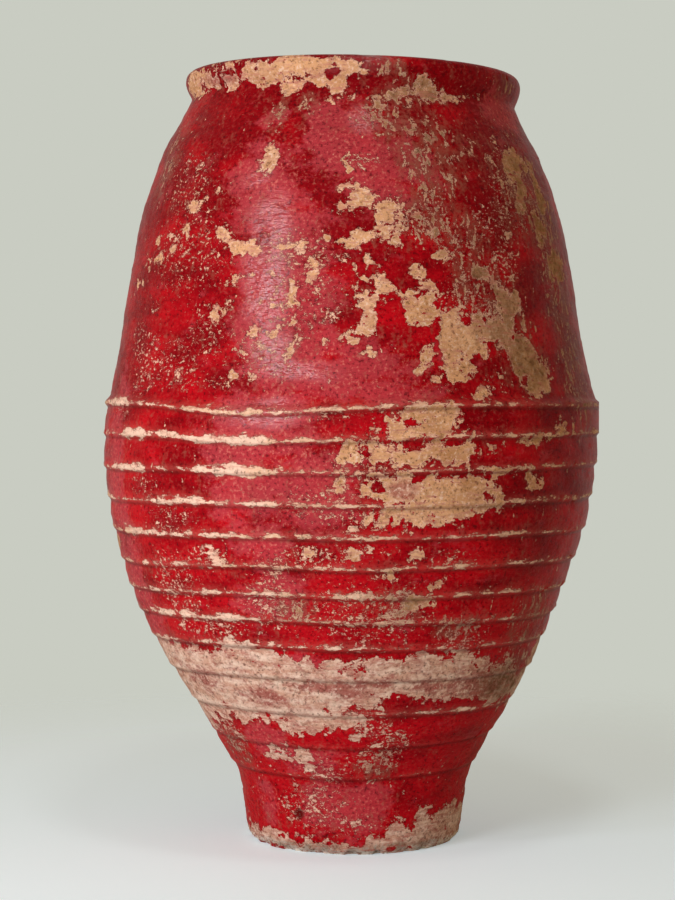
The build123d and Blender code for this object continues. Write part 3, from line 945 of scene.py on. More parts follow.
@dataclass
class Draft:
    """A mesh being gathered from sheets and the strips between them."""

    points: list[np.ndarray] = field(default_factory=list)
    marks: list[dict[str, np.ndarray]] = field(default_factory=list)
    faces: list[np.ndarray] = field(default_factory=list)
    normals: list[np.ndarray] = field(default_factory=list)
    places: list[np.ndarray] = field(default_factory=list)
    finishes: list[np.ndarray] = field(default_factory=list)
    count: int = 0
    smallest_ring: int = 28

    def add_points(self, points: np.ndarray, marks: dict[str, np.ndarray]) -> np.ndarray:
        """Adds rows of points.

        Args:
            points: The rows.
            marks: Their marks, by name.

        Returns:
            The points' numbers, in the same rows.
        """
        start, self.count = self.count, self.count + points[..., 0].size
        numbers = np.arange(start, self.count).reshape(points.shape[:-1])
        self.points.append(points.reshape(-1, 3))
        self.marks.append({name: mark.reshape(-1) for name, mark in marks.items()})
        return numbers

    def add_faces(self, corners: np.ndarray, normals: np.ndarray, places: np.ndarray,
                  finish: int) -> None:
        """Adds faces of one kind.

        Args:
            corners: Numbers of each face's corners.
            normals: Normal at each corner.
            places: Place of each corner on the flat map.
            finish: Which finish they show.
        """
        self.faces.append(corners)
        self.normals.append(normals)
        self.places.append(places)
        self.finishes.append(np.full(len(corners), finish))

    def all_points(self) -> np.ndarray:
        """Every point so far."""
        return np.concatenate(self.points)

    def add_strips(self, numbers: np.ndarray, along: np.ndarray, folds: int, finish: int,
                   normals: np.ndarray | None = None) -> None:
        """Joins rows of points, each to the next.

        Args:
            numbers: Numbers of the points, row by row.
            along: Where each row lies on the flat map, from 0 to 1.
            folds: Into how many bands the flat map is folded.
            finish: Which finish the faces show.
            normals: Normal at each point, or nothing for flat faces.
        """
        def around(grid: np.ndarray) -> np.ndarray:
            after = np.roll(grid, -1, axis=1)
            return np.stack([grid[:-1], after[:-1], after[1:], grid[1:]], axis=2)

        corners = around(numbers)
        if normals is None:
            spots = self.all_points()[corners]
            flat = np.cross(*(spots[..., end, :] - spots[..., end - 2, :] for end in (2, 3)))
            flat /= np.maximum(np.linalg.norm(flat, axis=-1, keepdims=True), 1e-12)
            at_corners = np.repeat(flat[:, :, None, :], 4, axis=2)
        else:
            at_corners = around(normals)
        width = COLUMNS // folds
        column = np.arange(COLUMNS)
        start = (column % width) / width
        across = np.stack([start, start + 1 / width, start + 1 / width, start], axis=1)
        band = (column // width)[:, None]
        low, high = along[:-1], along[1:]
        up = np.stack([low, low, high, high], axis=1)
        places = np.broadcast_arrays(across[None], (band[None] + up[:, None]) / folds)
        count = corners.shape[0] * corners.shape[1]
        self.add_faces(corners.reshape(count, 4), at_corners.reshape(count, 4, 3),
                       np.stack(places, axis=-1).reshape(count, 4, 2), finish)

    def close_disc(self, numbers: np.ndarray, upward: bool, along: float) -> None:
        """Closes a small hole in the middle of a disc, with rings of half as many points.

        Args:
            numbers: The hole's points.
            upward: Whether the disc faces up.
            along: Where it lies on the flat map.
        """
        way = 1.0 if upward else -1.0
        ring, spots = numbers, self.all_points()[numbers]
        middle = spots.mean(0)
        while len(ring) % 2 == 0 and len(ring) > self.smallest_ring:
            inner = middle + (spots[::2] - middle) * 0.8
            inner_ring = self.add_points(inner[None], {})[0]
            odd, after = ring[1::2], np.roll(ring[::2], -1)
            inner_after = np.roll(inner_ring, -1)
            fans = (
                (ring[::2], odd, inner_ring), (odd, after, inner_after), (odd, inner_after, inner_ring)
            )
            for fan in fans:
                self.add_disc_faces(np.stack(fan, axis=1), way, along)
            ring, spots = inner_ring, inner
        centre = self.add_points(middle[None, None], {})[0]
        corners = np.stack([ring, np.roll(ring, -1), np.broadcast_to(centre, ring.shape)], axis=1)
        self.add_disc_faces(corners, way, along)

    def add_disc_faces(self, corners: np.ndarray, way: float, along: float) -> None:
        """Adds flat triangles that face up if way is 1, or down if it is -1."""
        normals = np.broadcast_to((0.0, 0.0, way), (*corners.shape, 3))
        spots = self.all_points()[corners][..., :2]
        places = np.clip(np.array([0.5, along]) + spots * 0.05, 0, 1)
        self.add_faces(corners, normals, places, 1)

    def build(self, name: str) -> bpy.types.Object:
        """Makes the mesh.

        Args:
            name: Name of the piece.

        Returns:
            The new object.
        """
        mesh = bpy.data.meshes.new(name)
        points = self.all_points()
        sizes = np.concatenate([np.full(len(faces), faces.shape[1]) for faces in self.faces])
        corners = np.concatenate([faces.reshape(-1) for faces in self.faces])
        mesh.vertices.add(len(points))
        mesh.vertices.foreach_set("co", points.astype(np.float32).ravel())
        mesh.loops.add(len(corners))
        mesh.loops.foreach_set("vertex_index", corners.astype(np.int32))
        mesh.polygons.add(len(sizes))
        starts = np.concatenate([[0], np.cumsum(sizes)[:-1]])
        mesh.polygons.foreach_set("loop_start", starts.astype(np.int32))
        mesh.polygons.foreach_set("material_index", np.concatenate(self.finishes).astype(np.int32))
        mesh.polygons.foreach_set("use_smooth", np.ones(len(sizes), bool))
        mesh.update(calc_edges=True)
        flat_map = mesh.uv_layers.new(name=UV_MAP)
        places = np.concatenate([places.reshape(-1, 2) for places in self.places])
        flat_map.uv.foreach_set("vector", places.astype(np.float32).ravel())
        for mark_name in MARK_NAMES:
            values = [
                marks.get(mark_name, np.zeros(len(points)))
                for points, marks in zip(self.points, self.marks)
            ]
            mark = mesh.attributes.new(mark_name, "FLOAT", "POINT")
            mark.data.foreach_set("value", np.concatenate(values).astype(np.float32))
        normals = np.concatenate([normals.reshape(-1, 3) for normals in self.normals])
        mesh.normals_split_custom_set(normals.astype(np.float32))
        mesh.validate()
        piece = bpy.data.objects.new(name, mesh)
        bpy.context.collection.objects.link(piece)
        return piece


def spread_rows(sheets: list[Sheet], gap: float = 0.02, hidden: float = 0.35) -> list[np.ndarray]:
    """Where each sheet's rows lie on the flat map, by the way along the section.

    Args:
        sheets: The sheets in order round the section.
        gap: Room between them.
        hidden: Share of its own length that a bare sheet gets.

    Returns:
        For each sheet, a place from 0 to 1 for each row.
    """
    lengths = []
    for sheet in sheets:
        steps = np.linalg.norm(np.diff(sheet.points[:, 0], axis=0), axis=-1)
        lengths.append(np.concatenate([[0], steps.cumsum()]) * (hidden if sheet.finish else 1.0))
    whole = sum(length[-1] for length in lengths)
    start, found = gap, []
    for length in lengths:
        share = (1 - gap * (len(sheets) + 1)) / whole
        found.append(start + length * share)
        start += length[-1] * share + gap
    return found


@dataclass
class WallRing:
    """A ring of the wall: its outside, its inside and the two seams, which its neighbours hide."""

    node: str
    low: float
    high: float
    folds: tuple[int, ...] = (1, 2, 4, 7)
    closed: bool = True

    def sheets(self, skin: JarSkin) -> list[Sheet]:
        """The ring's sheets, in order round its section."""
        return [skin.outer_part(self.low, self.high), skin.inner_part(self.low, self.high)]

    def build(self, skin: JarSkin) -> bpy.types.Object:
        """Makes the ring's mesh.

        Args:
            skin: The jar's outside and inside.

        Returns:
            The new piece.
        """
        draft = Draft()
        sheets = self.sheets(skin)
        around = 2 * math.pi * float(np.abs(sheets[0].points[..., 0]).max())
        tall = float(np.linalg.norm(sheets[0].points[-1, 0] - sheets[0].points[0, 0]))
        # The flat map is folded so that its bands are about as dense across as up.
        folds = max(fold for fold in self.folds if fold * tall <= around / fold * 1.5)
        spread = spread_rows(sheets)
        rows = [draft.add_points(sheet.points, sheet.marks) for sheet in sheets]
        for sheet, numbers, along in zip(sheets, rows, spread):
            draft.add_strips(numbers, along, folds, sheet.finish, sheet.normals)
        self.join(draft, rows, spread, folds)
        return draft.build(f"jar_{self.node}")

    def join(self, draft: Draft, rows: list[np.ndarray], spread: list[np.ndarray],
             folds: int) -> None:
        """Closes the section with flat strips from each sheet to the next.

        Args:
            draft: The mesh being gathered.
            rows: Each sheet's points.
            spread: Where each sheet's rows lie on the flat map.
            folds: Into how many bands the flat map is folded.
        """
        after = [*rows[1:], rows[0]] if self.closed else rows[1:]
        for low, high, along in zip(rows, after, spread):
            strip = np.stack([low[-1], high[0]])
            draft.add_strips(strip, np.array([along[-1], along[-1] + STRIP_ON_MAP]), folds, 1)

    def dress(self, piece: bpy.types.Object, finishes: list[bpy.types.Material]) -> None:
        """Gives a piece its finishes and its place in the frame.

        Args:
            piece: The ring's piece.
            finishes: The outside's finish, then the inside's.
        """
        for finish in finishes:
            piece.data.materials.append(finish)
        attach(piece, BODY)
        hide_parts(self.node)


@dataclass
class Lip(WallRing):
    """The rolled lip, all of whose section shows but the seam under it."""

    def sheets(self, skin: JarSkin) -> list[Sheet]:
        """The lip's one sheet, from the groove over the top and down the throat."""
        return [skin.outer_part(self.low, self.high)]


@dataclass
class FloorDisc(WallRing):
    """The floor slab: its edge, its upper side and its underside."""

    closed: bool = False
    rows: int = 14
    middle: float = 0.012
    dish: float = 0.0015
    rough: Noise = Noise(211, 40, 3, strength=1.2 * MM)

    def disc(self, start: np.ndarray, upward: bool) -> Sheet:
        """One side of the slab, from its edge to a small hole in the middle.

        Args:
            start: The edge's points.
            upward: Whether it is the upper side.

        Returns:
            The sheet, from the edge inwards.
        """
        centre = start.mean(0)
        shares = np.linspace(0.995, 0, self.rows)[:, None, None] ** 1.1
        reach = np.linalg.norm(start - centre, axis=-1, keepdims=True)
        least = self.middle / reach
        points = centre + (start - centre) * (least + (1 - least) * shares)
        rough = self.rough.at(points / MM)
        fade = smooth(0, 0.35, 1 - shares[..., 0])
        points[..., 2] = start[:, 2] + fade * (rough if upward else self.dish + np.abs(rough) * 0.5)
        normals = np.broadcast_to((0.0, 0.0, 1.0 if upward else -1.0), points.shape)
        return Sheet(points, normals, 1)

    def sheets(self, skin: JarSkin) -> list[Sheet]:
        """The underside from its middle out, the edge, and the upper side to its middle."""
        edge = skin.outer_part(self.low, self.high)
        below = self.disc(edge.points[0], upward=False).part(0, self.rows - 1, backwards=True)
        return [below, edge, self.disc(edge.points[-1], upward=True)]

    def join(self, draft: Draft, rows: list[np.ndarray], spread: list[np.ndarray],
             folds: int) -> None:
        """Joins the sides to the edge, and closes both middles."""
        super().join(draft, rows, spread, folds)
        draft.close_disc(rows[0][0], upward=False, along=0.02)
        draft.close_disc(rows[-1][-1], upward=True, along=0.98)


@dataclass(frozen=True)
class Pattern:
    """A cloudy pattern on a finish, from 0 to 1 and mostly near 0.5.

    Its marks are so many millimetres apart and so many times flatter than wide. It has finer
    layers, of a number and a strength.
    """

    size: float
    flat: float = 1.0
    layers: float = 3.0
    strength: float = 0.55


# What makes a Mix node mix colours, and the numbers of its inputs for them.
COLOURS = {"output": 2, "data_type": "RGBA"}
FIRST, SECOND = 6, 7


class Recipe:
    """A material's tree of nodes, written as a row of steps.

    Inputs go by number where names repeat. Those of a MapRange are the value, the two ends of its
    range and the two ends of the result, which are 0 and 1 where they aren't given.
    """

    def __init__(self, name: str) -> None:
        """A new material whose tree has the places on the object."""
        self.material = bpy.data.materials.new(name)
        self.material.use_nodes = True
        self.tree = self.material.node_tree
        self.tree.nodes.clear()
        self.place = self.add("TexCoord", output="Object")

    def add(self, kind: str, inputs: dict[Any, Any] | None = None, output: Any = 0,
            **settings: Any) -> bpy.types.NodeSocket:
        """Adds a node.

        Args:
            kind: Kind of node, without the word Shader and Node.
            inputs: Values, sRGB hex colours or sockets, by the name or number of the input.
            output: Name or number of the output that is wanted.
            **settings: Settings of the node.

        Returns:
            That output.
        """
        node = self.tree.nodes.new(f"ShaderNode{kind}")
        for setting, value in settings.items():
            setattr(node, setting, value)
        for name, value in (inputs or {}).items():
            if isinstance(value, bpy.types.NodeSocket):
                self.tree.links.new(value, node.inputs[name])
            else:
                plain = linear(value) if isinstance(value, str) else value
                node.inputs[name].default_value = plain
        return node.outputs[output]

    def patterns(self, *coats: Any) -> dict[str, bpy.types.NodeSocket]:
        """Adds the patterns of some coats.

        Args:
            *coats: The coats.

        Returns:
            The patterns by their names in the coats.
        """
        found = {}
        for name, pattern in (item for coat in coats for item in vars(coat).items()):
            if isinstance(pattern, Pattern):
                drawn_out = self.add(
                    "VectorMath", {0: self.place, 1: (1.0, 1.0, pattern.flat)}, operation="MULTIPLY"
                )
                found[name] = self.add("TexNoise", {
                    "Vector": drawn_out, "Scale": 1 / (pattern.size * MM),
                    "Detail": pattern.layers, "Roughness": pattern.strength,
                })
        return found

    def laid(self, colour: Any, *coats: tuple[Any, Any]) -> Any:
        """Lays colours over a colour.

        Args:
            colour: The lowest one.
            *coats: How much each covers and its colour, from the lowest up.

        Returns:
            The colour that shows.
        """
        for cover, coat in coats:
            colour = self.add("Mix", {0: cover, FIRST: colour, SECOND: coat}, **COLOURS)
        return colour

    def finish(self, shader: bpy.types.NodeSocket) -> bpy.types.Material:
        """Links the shader to the surface, and returns the material."""
        output = self.tree.nodes.new("ShaderNodeOutputMaterial")
        self.tree.links.new(shader, output.inputs["Surface"])
        return self.material


@dataclass(frozen=True)
class OilPaint:
    """Red oil paint, brushed on in several coats and weathered.

    It gives the eye a deep crimson film with a satin sheen, which chalks to a paler pink and
    wrinkles where it is thick. The chalked pink also stands for painted sheen on the lit side,
    the scuffed pink for a painted highlight on the lit rib crests, and the crease colour for
    painted shade under the ribs.
    """

    deep: str = "#86000C"
    fresh: str = "#BE0818"
    chalked_and_sheen: str = "#BC424C"
    # Scuffed pink, which also paints a highlight on the lit rib crests.
    scuff_and_highlight: str = "#DA7C70"
    # Dark stains, and the painted shadow along the paint film's broken edge.
    stained: str = "#3A060A"
    worn: str = "#8E5244"
    thin: str = "#B86A5E"
    # Painted shade for the hollows under the ribs and the pit.
    crease_shade_colour: str = "#3C140E"
    ior: float = 1.5
    roughness: float = 0.36
    chalked_roughness: float = 0.5
    glossed: float = -0.42
    sheen: float = 0.04
    gloss_sheen: float = 0.5
    bare_sheen: float = 0.1
    grain: float = 1.6 * MM
    fleck: Pattern = Pattern(4.4, 1, 4, 0.66)
    mottle: Pattern = Pattern(12, 1, 6, 0.68)
    brushed: Pattern = Pattern(18, 6, 6, 0.65)
    coats: Pattern = Pattern(80, 2, 5)
    blotches: Pattern = Pattern(42, 1.6, 8, 0.76)
    drips: Pattern = Pattern(11, 0.4, 6, 0.7)
    wrinkles: Pattern = Pattern(11, 3.2, 2, 0.6)
    ragged: Pattern = Pattern(17, 1, 7, 0.7)
    rubbed: Pattern = Pattern(8, 0.3, 6, 0.66)
    kept: Pattern = Pattern(16, 1.6, 6, 0.7)
    crest_edge: Pattern = Pattern(18, 2.5, 7, 0.7)
    large_chips: Pattern = Pattern(30, 1.3, 7, 0.72)
    chips: Pattern = Pattern(12, 1.3, 7, 0.72)
    small_chips: Pattern = Pattern(5, 1.3, 7, 0.72)
    chip_limits: tuple[tuple[str, float, float], ...] = (
        ("large_chips", 0.715, 0.585), ("chips", 0.705, 0.586), ("small_chips", 0.7, 0.562),
    )


@dataclass(frozen=True)
class Limewash:
    """Limewash with ochre in it, brushed on under the paint: a dry, warm tan coat."""

    plain: str = "#E2AD82"
    dark: str = "#C08A5C"
    pale: str = "#EBCBA6"
    cream: str = "#FCD0B8"
    pinhole: str = "#4A2414"
    roughness: float = 0.88
    cloud: Pattern = Pattern(45, 1, 5)


@dataclass(frozen=True)
class LimePlaster:
    """Thin lime plaster, trowelled low on the jar: pale, matt and stained by the paint."""

    plain: str = "#D2A48E"
    pale: str = "#EECFBC"
    # Pale plaster colour: a painted highlight on the rib crests, and the colour of pale flecks.
    ridge_highlight: str = "#F2DAC8"
    limed: str = "#EFEAE0"
    stained: str = "#A2564E"
    dirty: str = "#6C4A30"
    trowelled: Pattern = Pattern(26, 3, 6, 0.62)
    stain: Pattern = Pattern(16, 1.6, 7, 0.72)


@dataclass(frozen=True)
class Terracotta:
    """Coarse fired clay, scraped by hand: a dull orange brown with pale grit and dark oil."""

    plain: str = "#A0623F"
    pale: str = "#BE8A63"
    dark: str = "#4C2E20"
    roughness: float = 0.9
    sheen: float = 0.3
    relief: float = 1.2 * MM
    cloud: Pattern = Pattern(70, 1, 5, 0.5)
    grit: Pattern = Pattern(4, 1, 4, 0.5)


class Side(Enum):
    """The two kinds of surface that the jar shows."""

    PAINTED = "oil_paint_on_limewash"
    BARE = "bare_terracotta"


class PaintedFinish:
    """Worn oil paint over limewash and lime plaster, as one material."""

    def __init__(self) -> None:
        """Starts the tree with the marks and patterns that its steps read."""
        self.paint, self.wash, self.plaster = OilPaint(), Limewash(), LimePlaster()
        self.recipe = Recipe(Side.PAINTED.value)
        add = self.recipe.add
        self.height = add("SeparateXYZ", {0: self.recipe.place}, 2)
        self.marks = {
            name: add("Attribute", None, "Fac", attribute_name=name) for name in MARK_NAMES
        }
        self.seen = self.recipe.patterns(self.paint, self.wash, self.plaster)
        self.pale_fleck = add("MapRange", {0: self.seen["fleck"], 1: 0.55, 2: 0.64})
        self.dark_fleck = add("MapRange", {0: self.seen["fleck"], 1: 0.45, 2: 0.34})

    def build(self) -> bpy.types.Material:
        """Makes the material.

        Returns:
            The new material.
        """
        add, laid, marks, paint = self.recipe.add, self.recipe.laid, self.marks, self.paint
        lost, small, crests = self.paint_loss()
        gone = add("MapRange", {0: lost, 1: 0.0, 2: 0.12})
        thin = add("MapRange", {0: crests, 1: -0.9, 2: 0.0, 4: 0.5})
        # Painted shadow: a thin dark line just outside each loss, along the paint film's broken edge.
        brink = add("MapRange", {0: lost, 1: -0.3, 2: -0.02, 4: 0.4})
        film = laid(self.paint_colour(), (thin, paint.thin), (brink, paint.stained))
        brink = add("MapRange", {0: lost, 1: 0.4, 2: 0.12, 4: 0.6})
        near = add("MapRange", {0: lost, 1: 2.0, 2: 0.2, 4: 0.8})
        tatters = add("MapRange", {0: self.seen["brushed"], 1: 0.5, 2: 0.6})
        tatters = add("Math", {0: near, 1: tatters}, operation="MULTIPLY")
        ground = laid(self.ground_colour(small), (brink, self.wash.cream), (tatters, paint.thin))
        # Painted shade, darkening the hollows under the ribs and the pit.
        crease = add("Math", {0: marks["crease"], 1: 0.45}, operation="MULTIPLY")
        colour = laid(film, (gone, ground), (crease, paint.crease_shade_colour))
        rough = add("MapRange", {0: marks["chalk"], 3: paint.roughness, 4: paint.chalked_roughness})
        for mark, share in ((self.seen["fleck"], 0.3), (marks["gloss"], paint.glossed)):
            rough = add("Math", {0: mark, 1: share, 2: rough}, operation="MULTIPLY_ADD")
        rough = add("Math", {0: rough, 1: 0.15}, operation="SUBTRACT")
        rough = add("Mix", {0: gone, 2: rough, 3: self.wash.roughness})
        sheen = add("MapRange", {0: marks["gloss"], 3: paint.sheen, 4: paint.gloss_sheen})
        sheen = add("Mix", {0: gone, 2: sheen, 3: paint.bare_sheen})
        return self.recipe.finish(add("BsdfPrincipled", {
            "Base Color": colour, "Roughness": rough, "IOR": paint.ior, "Specular IOR Level": sheen,
            "Normal": self.relief(gone),
        }))

    def paint_loss(self) -> tuple[bpy.types.NodeSocket, ...]:
        """Where the paint has gone, with crisp ragged edges.

        Returns:
            How far a point is within a loss, negative outside, where only a small chip or a worn
            crest bares it, and how far it is within a worn crest.
        """
        add, marks, seen = self.recipe.add, self.marks, self.seen
        ragged = add("MapRange", {0: seen["ragged"], 3: -3.0, 4: 3.0})
        patches = add("Math", {0: marks["loss"], 1: ragged}, operation="ADD")
        rubbed = add("MapRange", {0: seen["rubbed"], 3: -6.3, 4: 0.7})
        rubbed = add("Math", {0: seen["fleck"], 1: 3.0, 2: rubbed}, operation="MULTIPLY_ADD")
        rubbed = add("Math", {0: marks["grime"], 1: rubbed}, operation="ADD")
        patches = add("Math", {0: patches, 1: rubbed}, operation="MAXIMUM")
        kept = add("MapRange", {0: seen["kept"], 1: 0.6, 2: 0.76, 4: 3.0})
        patches = add("Math", {0: patches, 1: kept}, operation="SUBTRACT")
        fine = add("MapRange", {0: seen["crest_edge"], 3: -5.0, 4: 5.0})
        crests = small = add("Math", {0: marks["crest"], 1: fine}, operation="ADD")
        for name, least, most in self.paint.chip_limits:
            limit = add("MapRange", {0: marks["chips"], 3: least, 4: most})
            crowd = add("Math", {0: seen[name], 1: limit}, operation="SUBTRACT")
            crowd = add("Math", {0: crowd, 1: 7.0}, operation="MULTIPLY")
            small = add("Math", {0: small, 1: crowd}, operation="MAXIMUM")
        lost = add("Math", {0: patches, 1: small}, operation="MAXIMUM")
        return lost, add("Math", {0: small, 1: patches}, operation="GREATER_THAN"), crests

    def ground_colour(self, small: bpy.types.NodeSocket) -> bpy.types.NodeSocket:
        """Colour of the bare ground, limewash or plaster, with a painted highlight on the plaster's rib
        crests.

        Args:
            small: Where only a small chip bares it.

        Returns:
            The colour.
        """
        add, laid, seen = self.recipe.add, self.recipe.laid, self.seen
        marks, wash, plaster = self.marks, self.wash, self.plaster
        cloud = add("MapRange", {0: seen["cloud"], 1: 0.35, 2: 0.68})
        light = add("MapRange", {0: seen["brushed"], 1: 0.5, 2: 0.72, 4: 0.8})
        tan = laid(wash.plain, (cloud, wash.dark), (light, wash.pale))
        cloud = add("MapRange", {0: seen["trowelled"], 1: 0.42, 2: 0.62})
        pink = add("Math", {0: marks["pink"], 1: 0.22, 2: seen["stain"]}, operation="MULTIPLY_ADD")
        pink = add("MapRange", {0: pink, 1: 0.48, 2: 0.7, 4: 0.9})
        # Painted highlight on the rib crests within the plaster band.
        ridge_highlight = add("MapRange", {0: marks["crest"], 1: -2.0, 2: 1.0, 4: 0.7})
        chip = add("Math", {0: small, 1: 0.6}, operation="MULTIPLY")
        low = add("MapRange", {0: self.height, 1: 22 * MM, 2: 6 * MM})
        low = add("Math", {0: low, 1: seen["mottle"], 2: seen["fleck"]}, operation="MULTIPLY_ADD")
        low = add("MapRange", {0: low, 1: 0.82, 2: 0.98, 4: 0.9})
        lime = laid(
            plaster.plain, (cloud, plaster.pale), (pink, plaster.stained), (ridge_highlight, plaster.ridge_highlight),
            (chip, wash.cream), (low, plaster.limed),
        )
        either = add("Math", {0: marks["pale"], 1: marks["pink"]}, operation="MAXIMUM")
        either = add("Math", {0: small, 1: 0.5, 2: either}, operation="MULTIPLY_ADD", use_clamp=True)
        dirt = add("MapRange", {0: seen["mottle"], 1: 0.55, 2: 0.72, 4: 0.55})
        light = add("Math", {0: self.pale_fleck, 1: 0.6}, operation="MULTIPLY")
        holes = add("Math", {0: self.dark_fleck, 1: 0.75}, operation="MULTIPLY")
        grime = add("MapRange", {0: seen["mottle"], 1: 0.3, 2: 0.66, 3: 0.3, 4: 1.0})
        grime = add("Math", {0: marks["grime"], 1: grime}, operation="MULTIPLY")
        return laid(
            tan, (either, lime), (dirt, plaster.dirty), (light, plaster.ridge_highlight),
            (holes, wash.pinhole), (grime, plaster.dirty),
        )

    def paint_colour(self) -> bpy.types.NodeSocket:
        """Colour of the paint: fresh, chalked or grimed, with painted shade, sheen and crest
        highlights.

        Returns:
            The colour.
        """
        add, marks, paint, seen = self.recipe.add, self.marks, self.paint, self.seen
        # The paint is drawn deeper towards the top, a painted shade for the dimmer light up high.
        coats = {0: self.height, 1: -0.3, 2: seen["coats"]}
        coats = add("MapRange", {0: add("Math", coats, operation="MULTIPLY_ADD"), 1: 0.22, 2: 0.48})
        # The chalked pink is partly chalking and partly painted sheen of the window's reflection.
        chalk = add("Math", {0: marks["chalk"], 1: 0.26, 2: seen["blotches"]}, operation="MULTIPLY_ADD")
        chalk = add("MapRange", {0: chalk, 1: 0.57, 2: 0.69, 4: 0.66})
        # Painted highlight: the lit top edges of the worn rib crests are lightened toward the scuffed
        # pink.
        crest_highlight = add("MapRange", {0: marks["crest"], 1: -3.0, 2: 0.0, 4: 0.3})
        crest_highlight = add("Math", {0: crest_highlight, 1: seen["brushed"]}, operation="MULTIPLY")
        scuffs = add("MapRange", {0: marks["chalk"], 3: 0.1, 4: 0.7})
        scuffs = add("Math", {0: self.pale_fleck, 1: scuffs}, operation="MULTIPLY")
        stains = add("Math", {0: self.dark_fleck, 1: 0.7}, operation="MULTIPLY")
        drips = add("MapRange", {0: seen["drips"], 1: 0.3, 2: 0.7, 3: -2.8, 4: -0.8})
        worn = add("Math", {0: seen["fleck"], 1: 3.0, 2: drips}, operation="MULTIPLY_ADD")
        worn = add("Math", {0: marks["grime"], 1: worn}, operation="ADD")
        worn = add("MapRange", {0: worn, 1: 0.0, 2: 1.2, 4: 0.75})
        return self.recipe.laid(
            paint.deep, (coats, paint.fresh), (chalk, paint.chalked_and_sheen), (crest_highlight, paint.scuff_and_highlight),
            (scuffs, paint.scuff_and_highlight), (stains, paint.stained), (worn, paint.worn),
        )

    def relief(self, gone: bpy.types.NodeSocket) -> bpy.types.NodeSocket:
        """Fine relief: the film's edge, brush marks, wrinkles and the ground's grain.

        Args:
            gone: Where the paint is gone.

        Returns:
            The normal.
        """
        add, seen, gloss = self.recipe.add, self.seen, self.marks["gloss"]
        height = seen["brushed"]
        for name in ("fleck", "mottle"):
            height = add("Math", {0: seen[name], 1: 0.6, 2: height}, operation="MULTIPLY_ADD")
        grain = add("MapRange", {0: gloss, 3: 1.0, 4: 0.15})
        height = add("Math", {0: height, 1: grain}, operation="MULTIPLY")
        wrinkles = add("Math", {0: seen["wrinkles"], 1: gloss}, operation="MULTIPLY")
        for raised, share in ((wrinkles, 1.8), (gone, -0.35)):
            height = add("Math", {0: raised, 1: share, 2: height}, operation="MULTIPLY_ADD")
        return add("Bump", {"Height": height, "Strength": 0.75, "Distance": self.paint.grain})


class BareFinish:
    """Bare fired clay, for the inside, the seams and the underside."""

    def build(self) -> bpy.types.Material:
        """Makes the material.

        Returns:
            The new material.
        """
        clay, recipe = Terracotta(), Recipe(Side.BARE.value)
        seen = recipe.patterns(clay)
        cloud = recipe.add("MapRange", {0: seen["cloud"], 1: 0.35, 2: 0.65})
        grit = recipe.add("MapRange", {0: seen["grit"], 1: 0.56, 2: 0.72, 4: 0.6})
        normal = recipe.add("Bump", {
            "Height": seen["grit"], "Strength": 0.6, "Distance": clay.relief,
        })
        return recipe.finish(recipe.add("BsdfPrincipled", {
            "Base Color": recipe.laid(clay.plain, (cloud, clay.dark), (grit, clay.pale)),
            "Roughness": clay.roughness, "Specular IOR Level": clay.sheen, "Normal": normal,
        }))


@dataclass(frozen=True)
class Lamp:
    """A soft rectangular light that faces the jar's middle, at a bearing and elevation in degrees."""

    name: str
    bearing: float
    elevation: float
    size: tuple[float, float]
    power: float
    colour: str
    distance: float = 2.6
    aim: float = 0.5

    def place(self) -> None:
        """Adds the light."""
        lamp = bpy.data.lights.new(self.name, "AREA")
        lamp.shape = "RECTANGLE"
        lamp.size, lamp.size_y = self.size
        lamp.energy = self.power
        lamp.color = linear(self.colour)[:3]
        light = bpy.data.objects.new(self.name, lamp)
        turn, lift = math.radians(self.bearing), math.radians(self.elevation)
        away, up = self.distance * math.cos(lift), self.distance * math.sin(lift)
        light.location = (away * math.sin(turn), -away * math.cos(turn), self.aim + up)
        light.rotation_euler = (math.pi / 2 - lift, 0.0, turn)
        bpy.context.collection.objects.link(light)


